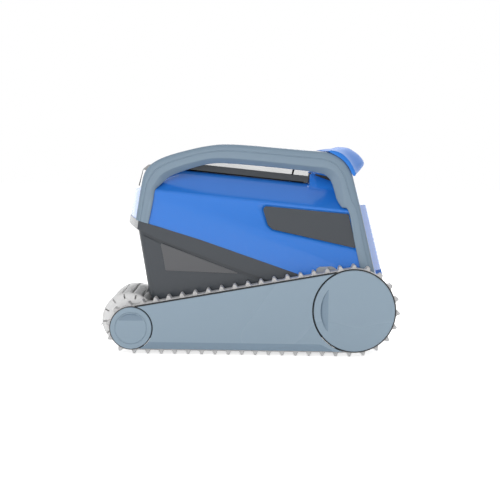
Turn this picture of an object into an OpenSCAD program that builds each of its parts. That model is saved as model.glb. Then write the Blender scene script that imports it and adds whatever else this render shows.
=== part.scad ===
// Robotic pool cleaner: tracked chassis, front brush rollers, top-opening filter
// chamber, pump and drive. Millimetres, +X to the rear, +Z up, floor at Z = 0.
// The left side is at negative Y. The right side is its mirror image.

/* [Tracks] */
// Height of the rear wheel axis, which is also the radius to the tips of the lugs
wheel_tip_r = 65.5; // [64:0.5:67]
// Height of the front pulley axis, which is also its radius to the tips of the lugs
pulley_tip_r = 36.7; // [36:0.1:38]
// Distance from the rear wheel axis to the middle of the machine
wheel_x = 149.5; // [149:0.1:151]
// Distance from the front pulley axis to the middle of the machine
pulley_x = 167.7; // [167:0.1:168]
// Height of the belt's lugs
lug_h = 5.5; // [4:0.5:6]
// Thickness of the belt's strap
strap_t = 3; // [2.5:0.5:3.5]
// Number of lugs round one belt
lugs = 48; // [40:1:54]
// Face of the belt nearest the hull
belt_in = 149; // [149:0.5:150]
// Face of the belt nearest the side cover
belt_out = 193; // [190:0.5:193]
// Outer faces of the side covers and wheel discs
face_y = 200; // [199:0.5:202]

/* [Body] */
// Half width of the lower hull
hull_y = 141; // [140:0.5:141]
// Half width of the waist band
band_y = 144.5; // [144:0.5:145]
// Half width of the upper shell below its crease
shell_y = 143; // [142:0.5:143.5]
// Half width of the deck that the lid closes on
deck_y = 98; // [96:1:100]
// Outer face of the arch frames
arch_y = 147.5; // [147:0.5:148]
// Thickness of the moulded walls
wall = 3.2; // [2.5:0.1:3.5]
// Height of the shell's side crease at the middle of the machine
crease_z = 218.3; // [216:0.1:220]
// Height of the deck at the middle of the machine
deck_z = 252.3; // [251:0.1:254]
// Slope of the deck and the crease, down towards the rear
deck_tilt = 5.36; // [5:0.01:5.5]

/* [Drive] */
// Teeth of the ring gear inside each rear wheel
wheel_teeth = 60; // [60]
// Teeth of the drive pinion
pinion_teeth = 12; // [12]
// Module of the wheel gears
wheel_mod = 1.5; // [1.5]
// Teeth of the ring gear inside each front pulley
pulley_teeth = 40; // [40]
// Teeth of the brush pinion
brush_teeth = 20; // [20]
// Module of the brush gears
brush_mod = 1; // [1]
// Direction of the brush axis from the pulley axis, in degrees from the rear
brush_dir = 125.4; // [124:0.1:127]
// Radius of the soft brush rollers
roller_r = 38.8; // [38:0.1:39]
// Radius to the tips of the two wiper blades on each roller
wiper_r = 42.3; // [41:0.1:42.5]
// Number of slots along a brush roller, two of which hold the wiper blades
roller_slots = 12; // [10:2:14]

/* [Pump] */
// Distance of the pump axis behind the middle of the machine
pump_x = 118; // [117:1:119]
// Bore of the pump duct
duct_r = 28; // [26:1:28]
// Number of impeller blades
impeller_blades = 5; // [4:1:7]

/* [Hidden] */
$fn = 96;
eps = 0.01;

// Axes, as [x, z]
wheel_at = [wheel_x, wheel_tip_r];
pulley_at = [-pulley_x, pulley_tip_r];
brush_gap = (pulley_teeth - brush_teeth) * brush_mod / 2;
brush_at = pulley_at + brush_gap * [cos(brush_dir), sin(brush_dir)];
pinion_at = wheel_at - [(wheel_teeth - pinion_teeth) * wheel_mod / 2, 0];

// Belt loop
strap_out = wheel_tip_r - lug_h;
strap_in = strap_out - strap_t;
pulley_less = wheel_tip_r - pulley_tip_r;
run_len = wheel_x + pulley_x;
run_tilt = 2 * atan(pulley_less / run_len);
wheel_wrap = 180 + run_tilt;
pulley_wrap = 180 - run_tilt;
running_gap = 0.3;

// Colours
blue = "#3f7fd9";
grey_blue = "#93a6b5";
dark = "#55595c";
black = "#2b2d2f";
rubber = "#c9c7c5";
steel = "#b8bcc0";

// ---- helpers ----

// An outline in X and Z, as a slab on the left side from |y| = a to |y| = b
module slab(a, b) {
    translate([0, -a, 0]) rotate([90, 0, 0]) linear_extrude(b - a) children();
}

// An outline in X and Z, right across the machine
module across(y) {
    translate([0, y, 0]) rotate([90, 0, 0]) linear_extrude(2 * y) children();
}

// A cylinder along Y on the left side, centred on the point at
module rod(at, r, a, b) {
    slab(a, b) translate(at) circle(r);
}

module tube(at, r_out, r_in, a, b) {
    slab(a, b) translate(at) difference() {
        circle(r_out);
        circle(r_in);
    }
}

module box(low, high) {
    translate(low) cube(high - low);
}

// The left child as it is, or mirrored to the right
module on_side(s) {
    if (s < 0) children();
    else mirror([0, 1, 0]) children();
}

// The outline round both belt pulleys, with radius r at the rear wheel
module loop2d(r) {
    n = [-sin(run_tilt), cos(run_tilt)];
    small = r - pulley_less;
    translate(wheel_at) circle(r);
    translate(pulley_at) circle(small);
    polygon([wheel_at + [0, -r], wheel_at + r * n, pulley_at + small * n, pulley_at + [0, -small]]);
}

// ---- gears ----

function involute(base, a) = base * [cos(a) + a * PI / 180 * sin(a), sin(a) - a * PI / 180 * cos(a)];
function spin(p, a) = [p[0] * cos(a) - p[1] * sin(a), p[0] * sin(a) + p[1] * cos(a)];
function roll_angle(base, r) = r <= base ? 0 : sqrt(pow(r / base, 2) - 1) * 180 / PI;

// One flank of a tooth centred on the X axis: pressure angle 20 degrees, root radius to tip radius
function flank(n, m, root, tip, half) =
    let (base = n * m / 2 * cos(20))
    let (inv20 = tan(20) * 180 / PI - 20)
    let (start = roll_angle(base, root))
    let (end = roll_angle(base, tip))
    concat(
        root < base ? [spin([root, 0], -half - inv20)] : [],
        [for (i = [0:4]) spin(involute(base, start + (end - start) * i / 4), -half - inv20)]
    );

function flip(ps) = [for (i = [len(ps) - 1:-1:0]) [ps[i][0], -ps[i][1]]];

// A gear outline: slack is the angle taken off each side of a tooth, or added where it is negative
module gear2d(n, m, root, tip, slack) {
    half = 90 / n - slack;
    f = flank(n, m, root, tip, half);
    tooth = concat(f, flip(f));
    polygon([for (i = [0:n - 1]) for (p = tooth) spin(p, i * 360 / n)]);
}

module ring_gear2d(n, m, r_out, slack) {
    difference() {
        circle(r_out);
        gear2d(n, m, n * m / 2 - 0.8 * m, n * m / 2 + 1.3 * m, -slack);
    }
}

module pinion2d(n, m, slack) {
    gear2d(n, m, n * m / 2 - 1.3 * m, n * m / 2 + 0.8 * m, slack);
}

// ---- body outlines ----

function deck_at(x) = deck_z - tan(deck_tilt) * x;
front_deck_x = -100;
nose_x = -185;
nose_z = 225.8;
tail_x = 215;

// Lines of the waist band, front to rear, down to the height of the hull's rear rim
rim_z = 100;
band_top = [[nose_x, 195.3], [-72, 161.7], [112, rim_z]];
band_low = [[nose_x, 185.7], [-130.6, 160.9], [-16.8, 119.9], [38.4, rim_z]];

// Everything above a line, out to the front and rear
module above2d(line) {
    polygon(concat(line, [[tail_x, rim_z], [tail_x, 330], [nose_x, 330]]));
}

// Bulged front and rear of the body, as cylinders that lean with its ends
bulge_front_r = 577;
bulge_rear_r = 700;
front_lean = 6.8;
rear_lean = 13.9;
front_tip = [-175.5, 210];
rear_tip = [166, 206];

module leaning_cylinder(tip, r, lean, dir) {
    translate([tip[0], 0, tip[1]]) rotate([0, lean, 0]) translate([dir * r, 0, -220])
        cylinder(r = r, h = 400, $fn = 256);
}

// The body's outer form, drawn in by d
module body_form(d) {
    intersection() {
        rotate([0, deck_tilt, 0]) rotate([90, 0, 90]) translate([0, 0, -260]) linear_extrude(520)
            polygon([
                [-shell_y + d, 0], [shell_y - d, 0], [shell_y - d, crease_z - 0.4 * d],
                [deck_y - 0.4 * d, deck_z - d], [0.4 * d - deck_y, deck_z - d],
                [d - shell_y, crease_z - 0.4 * d]
            ]);
        across(150) polygon([
            [nose_x, 0], [tail_x, 0], [tail_x, deck_at(tail_x) - d],
            [front_deck_x, deck_at(front_deck_x) - d], [nose_x, nose_z - d]
        ]);
        leaning_cylinder(front_tip, bulge_front_r - d, front_lean, bulge_front_r / (bulge_front_r - d));
        leaning_cylinder(rear_tip, bulge_rear_r - d, -rear_lean, -bulge_rear_r / (bulge_rear_r - d));
    }
}

// ---- lower body ----

hull_wall = 3.5;
hull_floor = 26;
hull_front = [
    [-161.4, 174.9], [-147.4, 97.3], [-144, 77.5], [-137, 72], [-129, 60], [-128, hull_floor]
];
module hull2d() {
    polygon(concat(hull_front, [[164, hull_floor], [174, rim_z], [38.4, rim_z], [-16.8, 119.9], [-130.6, 160.9]]));
}

plate_hole = [118, 96];
gland_at = [0, 88];
module lower_hull() {
    color(dark) difference() {
        union() {
            difference() {
                across(hull_y) hull2d();
                across(hull_y - hull_wall) offset(delta = -hull_wall) hull2d();
                across(hull_y - hull_wall) translate([0, hull_wall + 2]) offset(delta = -hull_wall) hull2d();
            }
            for (s = [-1, 1]) on_side(s) {
                rod(wheel_at, 15, hull_y - 16, hull_y - 1);
                rod(pinion_at, 10, hull_y - 16, hull_y - 1);
            }
        }
        box([-plate_hole[0], -plate_hole[1], hull_floor - 1], [62, plate_hole[1], hull_floor + 10]);
        for (s = [-1, 1]) on_side(s) {
            rod(wheel_at, 8, hull_y - 16 - eps, hull_y + 1);
            rod(pinion_at, 5.06, hull_y - 16 - eps, hull_y + 1);
        }
        translate([140, gland_at[0], gland_at[1]]) rotate([0, 90, 0]) cylinder(r = 8, h = 50);
        for (x = [-124, 146]) for (y = [-100, 100]) translate([x, y, hull_floor - 1])
            cylinder(r = 2, h = 10);
    }
}

module waist_band() {
    color(dark) difference() {
        intersection() {
            difference() {
                across(band_y) polygon(concat(band_top, [[38.4, rim_z]], [for (i = [2:-1:0]) band_low[i]]));
                across(band_y - 1) polygon([[-150, 90], [150, 90], [150, 150], [-150, 240]]);
            }
            leaning_cylinder(front_tip, bulge_front_r, front_lean, 1);
        }
        body_form(wall);
    }
}

// ---- upper shell ----

inlay = [[16.3, 211.9], [141.3, 201.7], [152.9, 152.4], [32.4, 177.9], [25.4, 183.7]];
module inlay2d(grow) {
    offset(r = grow) offset(r = 3) offset(delta = -3) polygon(inlay);
}

hinge_at = [91, 252.5];
lid_open_x = [-158, 70];
lid_open_y = 80;
inlay_depth = 1.6;
module upper_shell() {
    color(blue) difference() {
        union() {
            difference() {
                intersection() {
                    body_form(0);
                    across(160) above2d(band_top);
                }
                body_form(wall);
            }
            for (s = [-1, 1]) on_side(s) slab(88, 95) hull() {
                translate(hinge_at) circle(6, $fn = 32);
                translate([85, 243]) square([16, 1]);
            }
        }
        // filter chamber opening, and the nose that the lid's skirt covers
        box([lid_open_x[0], -lid_open_y, 200], [lid_open_x[1], lid_open_y, 290]);
        translate([pump_x, 0, 215]) cylinder(r = duct_r + 3.4, h = 60);
        for (s = [-1, 1]) on_side(s) {
            slab(shell_y - inlay_depth, shell_y + 5) inlay2d(1.5);
            rod(hinge_at, 3, 80, 100);
        }
    }
}

module side_inlay(s) {
    color(dark) on_side(s) slab(shell_y - inlay_depth, shell_y - 0.2) inlay2d(0);
}

// ---- arch frames and handle ----

// Outer and inner outlines of an arch, front foot to rear foot
arch_outer = [
    [-164.9, 192.2], [-163.5, 200], [-160.5, 221], [-157, 243], [-154.7, 255], [-150.5, 263],
    [-143, 270.5], [-130.7, 277.9], [-110, 285.3], [-88, 291.3], [-65.4, 296.5], [-50, 298.9],
    [-36.7, 299.8], [-15, 299.2], [46.8, 294.9], [100, 291.2], [112, 290.1], [122, 286.2],
    [131.8, 279.2], [139.5, 270], [145.1, 259.7], [149.5, 244], [159.4, 205.9], [184.8, rim_z]
];
arch_inner = [
    [164.6, rim_z], [141.2, 205.6], [128.6, 214], [124.3, 222], [121, 232.1], [116.5, 246],
    [112.5, 253], [105.8, 257.7], [91.1, 261.5], [61.6, 264.6], [20.6, 268.4], [-20, 271.2],
    [-41, 272.4], [-55, 271.8], [-67.9, 269.6], [-90.8, 262.4], [-105.4, 257.1], [-119.9, 249.6],
    [-130, 239.5], [-137.9, 231.5], [-146, 186.6]
];
arch_in_y = 126;

module arch_frame(s) {
    color(grey_blue) on_side(s) difference() {
        union() {
            slab(arch_in_y, arch_y - 3) polygon(concat(arch_outer, arch_inner));
            slab(arch_y - 3 - eps, arch_y) offset(delta = -1.6) polygon(concat(arch_outer, arch_inner));
        }
        body_form(0);
        across(band_y + 10) polygon([[nose_x, 0], [nose_x, 195.3], [-72, 161.7], [112, rim_z], [112, 0]]);
        // the feet lie on the shell's side, the span above is a free grip
        box([-175, -shell_y, 90], [190, -100, 200]);
    }
}

// A bar across the rear top corner, bowed to the rear at mid width: low and high edges, and crown
module handle_section(y, front, crown, back) {
    translate([0, y, 0]) rotate([90, 0, 0]) linear_extrude(6, center = true) hull() {
        translate(front) circle(4, $fn = 32);
        translate(crown) circle(9, $fn = 32);
        translate(back) circle(4, $fn = 32);
    }
}

module carry_handle() {
    ends = [[122, 290], [134, 276], [149, 258]];
    middle = [[131.5, 292.5], [147.5, 280], [154.5, 264.5]];
    inner = [[129, 291.5], [143, 278], [152.5, 262]];
    color(blue) difference() {
        for (s = [-1, 1]) {
            hull() {
                handle_section(s * 144, ends[0], ends[1], ends[2]);
                handle_section(s * 100, inner[0], inner[1], inner[2]);
            }
            hull() {
                handle_section(s * 100, inner[0], inner[1], inner[2]);
                handle_section(0, middle[0], middle[1], middle[2]);
            }
        }
        for (s = [-1, 1]) on_side(s) slab(arch_in_y, 160) polygon(concat(arch_outer, arch_inner));
        // finger recess along the underside
        across(110) polygon([[122, 272], [131, 283], [137, 281], [147, 265], [146, 254], [120, 254]]);
    }
}

// ---- rear ----

module rear_panel() {
    proud = 8;
    color(blue) difference() {
        intersection() {
            leaning_cylinder(rear_tip + [proud, 0], bulge_rear_r, -rear_lean, -1);
            union() {
                box([120, -104, 119], [230, 104, 214]);
                box([120, -34, 106], [230, 34, 119 + eps]);
            }
        }
        leaning_cylinder(rear_tip, bulge_rear_r, -rear_lean, -1);
        // the top edge slopes down to the shell
        translate([165, 0, 214]) rotate([0, 55, 0]) translate([-30, -120, 0]) cube([60, 240, 40]);
    }
}

// ---- bottom plate and intakes ----

throats = [-70, 14];
throat_half = [12, 52];
throat_top = 44;
plate_z = [21, hull_floor];
module bottom_plate() {
    color(dark) difference() {
        union() {
            box([-127, -112, plate_z[0]], [150, 112, plate_z[1]]);
            for (x = throats) {
                box([x - throat_half[0] - 2.5, -throat_half[1] - 2.5, plate_z[0]],
                    [x + throat_half[0] + 2.5, throat_half[1] + 2.5, throat_top]);
                for (s = [-1, 1]) on_side(s) {
                    box([x + 6, -throat_half[1] - 7.5, plate_z[1] - 1], [x + 22.5, -throat_half[1] - 1, 42]);
                    box([x + 16, -throat_half[1] - 7.5, 41], [x + 22, -throat_half[1] - 2.5, 50]);
                }
            }
        }
        for (x = throats) {
            box([x - throat_half[0], -throat_half[1], plate_z[0] - 1],
                [x + throat_half[0], throat_half[1], throat_top + 1]);
            translate([x + 18.5, 70, throat_top + 3]) rotate([90, 0, 0]) cylinder(r = 1.3, h = 140);
        }
        for (x = [-124, 146]) for (y = [-100, 100]) translate([x, y, plate_z[0] - 1])
            cylinder(r = 2, h = 10);
    }
}

module intake_flap(i) {
    x = throats[i];
    color(rubber) difference() {
        union() {
            box([x - throat_half[0] - 2.5, -throat_half[1] - 2, throat_top + 0.3],
                [x + 18.5, throat_half[1] + 2, throat_top + 2.3]);
            translate([x + 18.5, throat_half[1] + 2, throat_top + 3]) rotate([90, 0, 0])
                cylinder(r = 2.7, h = 2 * throat_half[1] + 4);
        }
        translate([x + 18.5, 70, throat_top + 3]) rotate([90, 0, 0]) cylinder(r = 1.35, h = 140);
    }
}

module flap_pins() {
    color(steel) for (x = throats)
        translate([x + 18.5, throat_half[1] + 7, throat_top + 3]) rotate([90, 0, 0])
            cylinder(r = 1.3, h = 2 * throat_half[1] + 14);
}

module plate_screws() {
    color(steel) for (x = [-124, 146]) for (y = [-100, 100]) translate([x, y, 0]) {
        translate([0, 0, plate_z[0] - 2]) cylinder(r = 4, h = 2);
        translate([0, 0, plate_z[0] - eps]) cylinder(r = 2, h = 8);
    }
}

// ---- tracks ----

// Place and outward direction at distance s along a loop of wheel radius r
function loop_at(s, r) =
    let (small = r - pulley_less)
    let (arc_w = wheel_wrap * PI / 180 * r)
    let (arc_p = pulley_wrap * PI / 180 * small)
    s < run_len ? [[-pulley_x + s, wheel_tip_r - r], -90]
    : s < run_len + arc_w ? let (a = -90 + (s - run_len) / r * 180 / PI)
        [wheel_at + r * [cos(a), sin(a)], a]
    : s < 2 * run_len + arc_w ? let (a = 90 + run_tilt)
        [wheel_at + r * [cos(a), sin(a)] - (s - run_len - arc_w) * [cos(run_tilt), sin(run_tilt)], a]
    : let (a = 90 + run_tilt + (s - 2 * run_len - arc_w) / small * 180 / PI)
        [pulley_at + small * [cos(a), sin(a)], a];
loop_len = 2 * run_len + (wheel_wrap * strap_out + pulley_wrap * (strap_out - pulley_less)) * PI / 180;
pitch = loop_len / lugs;
lug_phase = 0.27;
lug_foot = 8;
lug_top = 3.2;
// A lug's own outline: distance along the belt and height over the strap
lug = [[-lug_foot / 2, 0], [-lug_top / 2, lug_h], [lug_top / 2, lug_h], [lug_foot / 2, 0], [pitch / 2, 0]];

module track_belt(s) {
    color(rubber) on_side(s) slab(belt_in, belt_out) difference() {
        polygon([
            for (i = [0:lugs - 1]) for (p = lug)
                let (at = loop_at((i + lug_phase) * pitch + p[0], strap_out))
                at[0] + p[1] * [cos(at[1]), sin(at[1])]
        ]);
        loop2d(strap_in);
    }
}

module clear_of_wheels(r) {
    difference() {
        children();
        translate(wheel_at) circle(r);
        translate(pulley_at) circle(r - pulley_less);
        translate([wheel_x, -50]) square(300);
        translate([-pulley_x - 300, -50]) square([300, 300]);
    }
}

cover_r = 58;
module side_cover(s) {
    color(grey_blue) on_side(s) difference() {
        slab(belt_out + 2, face_y) clear_of_wheels(60) loop2d(cover_r);
        // lower edge leans in
        rotate([90, 0, 90]) translate([0, 0, -200]) linear_extrude(302)
            polygon([[-face_y - 1, 17.5], [-face_y, 17.5], [-face_y + 4, 7], [-face_y - 1, 7]]);
    }
}

track_frame_r = 54;
// Posts from the hull through to the side cover
frame_posts = [-90, -20, 40];
post_z = 50;
post_r = 7;
module track_frame(s) {
    color(dark) on_side(s) {
        slab(belt_in + 1, belt_out + 2) difference() {
            clear_of_wheels(62) loop2d(track_frame_r);
            clear_of_wheels(66) loop2d(track_frame_r - 4);
        }
        difference() {
            slab(belt_in + 1, belt_in + 5) clear_of_wheels(62.5) loop2d(track_frame_r - 1);
            rod(pinion_at, 20, 100, 200);
        }
        for (x = frame_posts) {
            rod([x, post_z], post_r, hull_y, belt_out + 2);
            slab(belt_in + 2, belt_out) translate([x - 1.5, 15]) square([3, 54 + (x + 90) * 0.15]);
        }
    }
}

// ---- rear wheels ----

drum_r = strap_in - running_gap;
drum_wall = 5.2;
spoke_end = 188;
module wheel(s) {
    color(dark) on_side(s) {
        tube(wheel_at, drum_r, drum_r - drum_wall, belt_in + 1, belt_out + 0.5);
        tube(wheel_at, drum_r - 5, 12, 176, 180);
        tube(wheel_at, 15, 10, 152, spoke_end);
        slab(151, 161) translate(wheel_at)
            ring_gear2d(wheel_teeth, wheel_mod, drum_r - drum_wall + eps, 0.12);
        for (a = [0:60:300]) slab(165, spoke_end) translate(wheel_at) rotate(a)
            translate([14, -1.5]) square([drum_r - 18, 3]);
    }
}

module wheel_disc(s) {
    color(grey_blue) on_side(s) difference() {
        translate([wheel_at[0], -belt_out - 1, wheel_at[1]]) rotate([90, 0, 0]) rotate_extrude()
            polygon([[0, 0], [57.7, 0], [57.7, 4.8], [56.5, 6], [0, 6]]);
        // shallow facet at the front of the disc
        slab(face_y - 1, face_y + 1) translate(wheel_at) intersection() {
            circle(48);
            translate([-87, -60]) square([50, 120]);
        }
    }
    color(grey_blue) on_side(s) tube(wheel_at, drum_r - 6, drum_r - 9, spoke_end, belt_out + 1 + eps);
}

module wheel_bushes(s) {
    color(black) on_side(s) {
        tube(wheel_at, 10, 8.05, 152, 164);
        tube(wheel_at, 10, 8.05, 176, 188);
    }
}

module wheel_axles() {
    color(steel) for (s = [-1, 1]) on_side(s) {
        rod(wheel_at, 8, hull_y - 16, 188.3);
        rod(wheel_at, 12, 188.3 - eps, 191);
        rod(wheel_at, 12, hull_y, 143);
    }
}

module drive_pinion(s) {
    color(steel) on_side(s) {
        slab(151, 161) translate(pinion_at) pinion2d(pinion_teeth, wheel_mod, 0.6);
        rod(pinion_at, 5, 64, 151 + eps);
    }
}

// ---- front pulleys and brushes ----

pulley_r = drum_r - pulley_less;
module pulley(s) {
    color(dark) on_side(s) {
        tube(pulley_at, pulley_r, 23.5, belt_in + 1, belt_out + 1);
        slab(150, 158) translate(pulley_at) rotate(brush_dir)
            ring_gear2d(pulley_teeth, brush_mod, 24, 0.2);
        tube(pulley_at, 24, 8.05, 176, 180);
        tube(pulley_at, 12, 8.05, 166, 189);
    }
    color(grey_blue) on_side(s) difference() {
        translate([pulley_at[0], -belt_out - 1, pulley_at[1]]) rotate([90, 0, 0]) rotate_extrude()
            polygon([
                [0, 0], [29.5, 0], [29.5, 4.8], [28.3, 6], [23, 6], [23, 5.2], [22, 5.2], [22, 6], [0, 6]
            ]);
        // shallow facet over the top of the cap
        slab(face_y - 0.8, face_y + 1) translate(pulley_at) intersection() {
            circle(21);
            translate([-30, 10.7]) square([60, 30]);
        }
    }
}

module pulley_axle(s) {
    carrier_r = 17.2;
    color(steel) on_side(s) {
        slab(143, 158.6) difference() {
            translate(pulley_at) circle(carrier_r);
            translate(brush_at) circle(11.8);
        }
        rod(pulley_at, carrier_r, 158.6 - eps, 163);
        rod(pulley_at, 8, 163 - eps, 189.3);
    }
}

arm_y = [hull_y, 143];
module brush_arm(s) {
    color(dark) on_side(s) difference() {
        union() {
            slab(142.5, 148.5) difference() {
                union() {
                    translate(brush_at) circle(20);
                    translate(pulley_at) circle(20);
                    polygon([[-172, 64.8], [-96, 64], [-60, 58], [-60, 30], [-96, 22], [-166, 16.8]]);
                }
                translate(pulley_at) circle(17.2);
                translate([frame_posts[0], post_z]) circle(post_r + 0.05);
            }
            slab(143, 148.5) intersection() {
                translate(brush_at) circle(11.8);
                translate(pulley_at) circle(17.3);
            }
            for (x = [-110, -70]) rod([x, 44], 8, hull_y, 143);
        }
        rod(brush_at, 6.06, 100, 160);
    }
}

module centre_bracket() {
    color(dark) difference() {
        across(5) union() {
            translate(brush_at) circle(13);
            polygon([
                brush_at + [-4, 12.4], brush_at + [12, -5], [-129, 32], [-129, 60], [-137, 72], [-144, 77.5]
            ]);
        }
        translate([0, 10, 0]) rod(brush_at, 6.06, 0, 20);
    }
}

core_end = 140.5;
module brush_core(s) {
    color(black) on_side(s) {
        tube(brush_at, 28, 24, 7, core_end);
        rod(brush_at, 24 + eps, 7, 10);
        rod(brush_at, 24 + eps, core_end - 3, core_end);
        rod(brush_at, 6, 0.5, 7 + eps);
        rod(brush_at, 6, core_end - eps, 150);
        slab(150 - eps, 157.6) translate(brush_at) rotate(brush_dir)
            pinion2d(brush_teeth, brush_mod, 0.9);
    }
}

module brush_sleeve(s) {
    slot = [1.6, 8];
    step = 360 / roller_slots;
    // the left and right rollers rest half a slot apart
    first = s < 0 ? 195 : 60;
    color(rubber) on_side(s) slab(7, core_end) translate(brush_at) rotate(first) difference() {
        union() {
            circle(roller_r);
            for (a = [0, 180]) rotate(a) translate([roller_r - slot[1], -0.7])
                square([wiper_r - roller_r + slot[1], 1.4]);
        }
        circle(28);
        for (i = [1:roller_slots / 2 - 1]) for (a = [0, 180]) rotate(a + i * step)
            translate([roller_r - slot[1], -slot[0] / 2]) square([20, slot[0]]);
    }
}

// ---- motor unit and pump ----

motor_x = [84, 152];
motor_y = 70;
motor_top = 122;
module motor_box(d) {
    box([motor_x[0] + d, -motor_y + d, 32 + d], [motor_x[1] - d, motor_y - d, motor_top]);
}

module motor_housing() {
    color(black) difference() {
        union() {
            motor_box(0);
            for (x = [90, 146]) for (y = [-60, 60]) translate([x, y, hull_floor + hull_wall])
                cylinder(r = 6, h = 8);
        }
        difference() {
            motor_box(3);
            for (s = [-1, 1]) on_side(s) rod(pinion_at, 9, motor_y - 8, motor_y);
        }
        for (s = [-1, 1]) on_side(s) rod(pinion_at, 5.06, motor_y - 9, motor_y + 1);
    }
}

module motor_cap() {
    color(black) difference() {
        box([motor_x[0], -motor_y, motor_top + 2], [motor_x[1], motor_y, motor_top + 7]);
        translate([pump_x, 0, motor_top]) cylinder(r = 4.06, h = 20);
    }
}

module motor_seal() {
    color(rubber) difference() {
        box([motor_x[0] + 0.5, -motor_y + 0.5, motor_top], [motor_x[1] - 0.5, motor_y - 0.5, motor_top + 2]);
        box([motor_x[0] + 3, -motor_y + 3, motor_top - 1], [motor_x[1] - 3, motor_y - 3, motor_top + 3]);
    }
}

module pump_motor() {
    color(steel) translate([pump_x, 0, 0]) {
        translate([0, 0, 88]) cylinder(r = 18, h = 27.5);
        for (a = [0:90:270]) rotate(a) translate([14, -2, 35]) cube([4, 4, 53 + eps]);
    }
}

module drive_motors() {
    color(steel) for (s = [-1, 1]) on_side(s) {
        rod(pinion_at, 16, 22, 60);
        box([pinion_at[0] - 6, -52, 35], [pinion_at[0] + 6, -30, 51]);
    }
}

module control_board() {
    color("#2e7d4f") {
        box([90, -50, 100], [91.6, 50, 118]);
        for (y = [-40, 40]) box([motor_x[0] + 3, y - 2, 107], [90 + eps, y + 2, 111]);
    }
    color(black) for (y = [-36:18:36]) box([91.6 - eps, y - 5, 103], [95, y + 5, 112]);
}

duct_top = 231;
duct_base = motor_top + 7;
module pump_duct() {
    color(dark) translate([pump_x, 0, 0]) {
        difference() {
            translate([0, 0, duct_base + 12]) cylinder(r = duct_r + 2.5, h = duct_top - duct_base - 12);
            translate([0, 0, duct_base]) cylinder(r = duct_r, h = 140);
        }
        for (a = [45:90:315]) rotate(a) translate([duct_r, -4, duct_base]) cube([2.5, 8, 13]);
        difference() {
            translate([0, 0, duct_base]) cylinder(r = duct_r + 2.5, h = 2);
            translate([0, 0, duct_base - 1]) cylinder(r = 20, h = 4);
        }
    }
}

module outlet_grille() {
    color(dark) translate([pump_x, 0, duct_top]) {
        difference() {
            cylinder(r = duct_r + 2.5, h = 3);
            translate([0, 0, -1]) cylinder(r = duct_r - 1, h = 5);
        }
        intersection() {
            cylinder(r = duct_r, h = 3);
            for (y = [-24:8:24]) box([-40, y - 1, 0], [40, y + 1, 3]);
        }
        cylinder(r = 8, h = 3);
    }
}

shaft_low = 116;
module impeller() {
    color(rubber) translate([pump_x, 0, 0]) {
        translate([0, 0, shaft_low]) cylinder(r = 4, h = 54);
        translate([0, 0, duct_base + 14]) cylinder(r = 9, h = 18);
        for (a = [0:360 / impeller_blades:359]) rotate(a)
            translate([0, 0, duct_base + 14]) rotate([28, 0, 0]) translate([5, -1, 0]) cube([20, 2, 18]);
    }
}

module impeller_nut() {
    color(steel) translate([pump_x, 0, duct_base + 32]) difference() {
        cylinder(r = 7, h = 5, $fn = 6);
        translate([0, 0, -1]) cylinder(r = 4, h = 8);
    }
}

// ---- filter basket ----

basket_low = [-117, -76, 52];
basket_high = [58, 76, 232];
post = 10;
module filter_basket() {
    color(dark) difference() {
        box(basket_low, basket_high);
        box(basket_low + [2.5, 2.5, 2.5], basket_high + [-2.5, -2.5, 1]);
        // windows for the filter panels
        box([basket_low[0] + post, -90, 70], [basket_high[0] - post, 90, 215]);
        box([-130, basket_low[1] + post, 70], [80, basket_high[1] - post, 215]);
        for (x = throats)
            box([x - 21, -throat_half[1] - 12, 50], [x + 27, throat_half[1] + 12, 60]);
    }
    color(dark) for (s = [-1, 1]) on_side(s)
        box([basket_low[0] - 1, basket_low[1] - 1, 226], [basket_high[0] + 1, basket_low[1] + eps, 232]);
    // legs that stand on the bottom plate
    color(dark) for (x = [basket_low[0], basket_high[0] - post]) for (y = [basket_low[1], basket_high[1] - post])
        box([x, y, hull_floor], [x + post, y + post, basket_low[2] + eps]);
}

module filter_panels() {
    t = 1.2;
    color(rubber) for (s = [-1, 1]) {
        on_side(s) box([basket_low[0] + post, basket_low[1] + 0.6, 70],
            [basket_high[0] - post, basket_low[1] + 0.6 + t, 215]);
        x = s < 0 ? basket_low[0] + 0.6 : basket_high[0] - 0.6 - t;
        box([x, basket_low[1] + post, 70], [x + t, basket_high[1] - post, 215]);
    }
}

module float_blocks() {
    color("#e6e2d8") for (s = [-1, 1]) on_side(s) box([-60, -shell_y + wall, 150], [70, -92, 200]);
}

// ---- lid ----

// Lower edge of the lid, front to rear, and the closed outline over it
lid_gap = 1.5;
lid_low = [[-166.5, 235], [front_deck_x, deck_at(front_deck_x) + lid_gap], [83.5, deck_at(83.5) + lid_gap]];
lid_top = [[83.5, 261], [70, 266], [-60, 273], [-120, 270.5], [-153, 266.5], [-160.5, 261]];
module lid2d() {
    polygon(concat(lid_low, lid_top));
}

// Side faces lean in above the lid's vertical rim
module lid_form(d) {
    rotate([0, deck_tilt, 0]) rotate([90, 0, 90]) translate([0, 0, -260]) linear_extrude(520)
        polygon([
            [-deck_y + d, 200], [deck_y - d, 200], [deck_y - d, deck_z + 9.5 - 0.5 * d],
            [deck_y - 26, deck_z + 24 - d], [26 - deck_y, deck_z + 24 - d], [d - deck_y, deck_z + 9.5 - 0.5 * d]
        ]);
}

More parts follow.
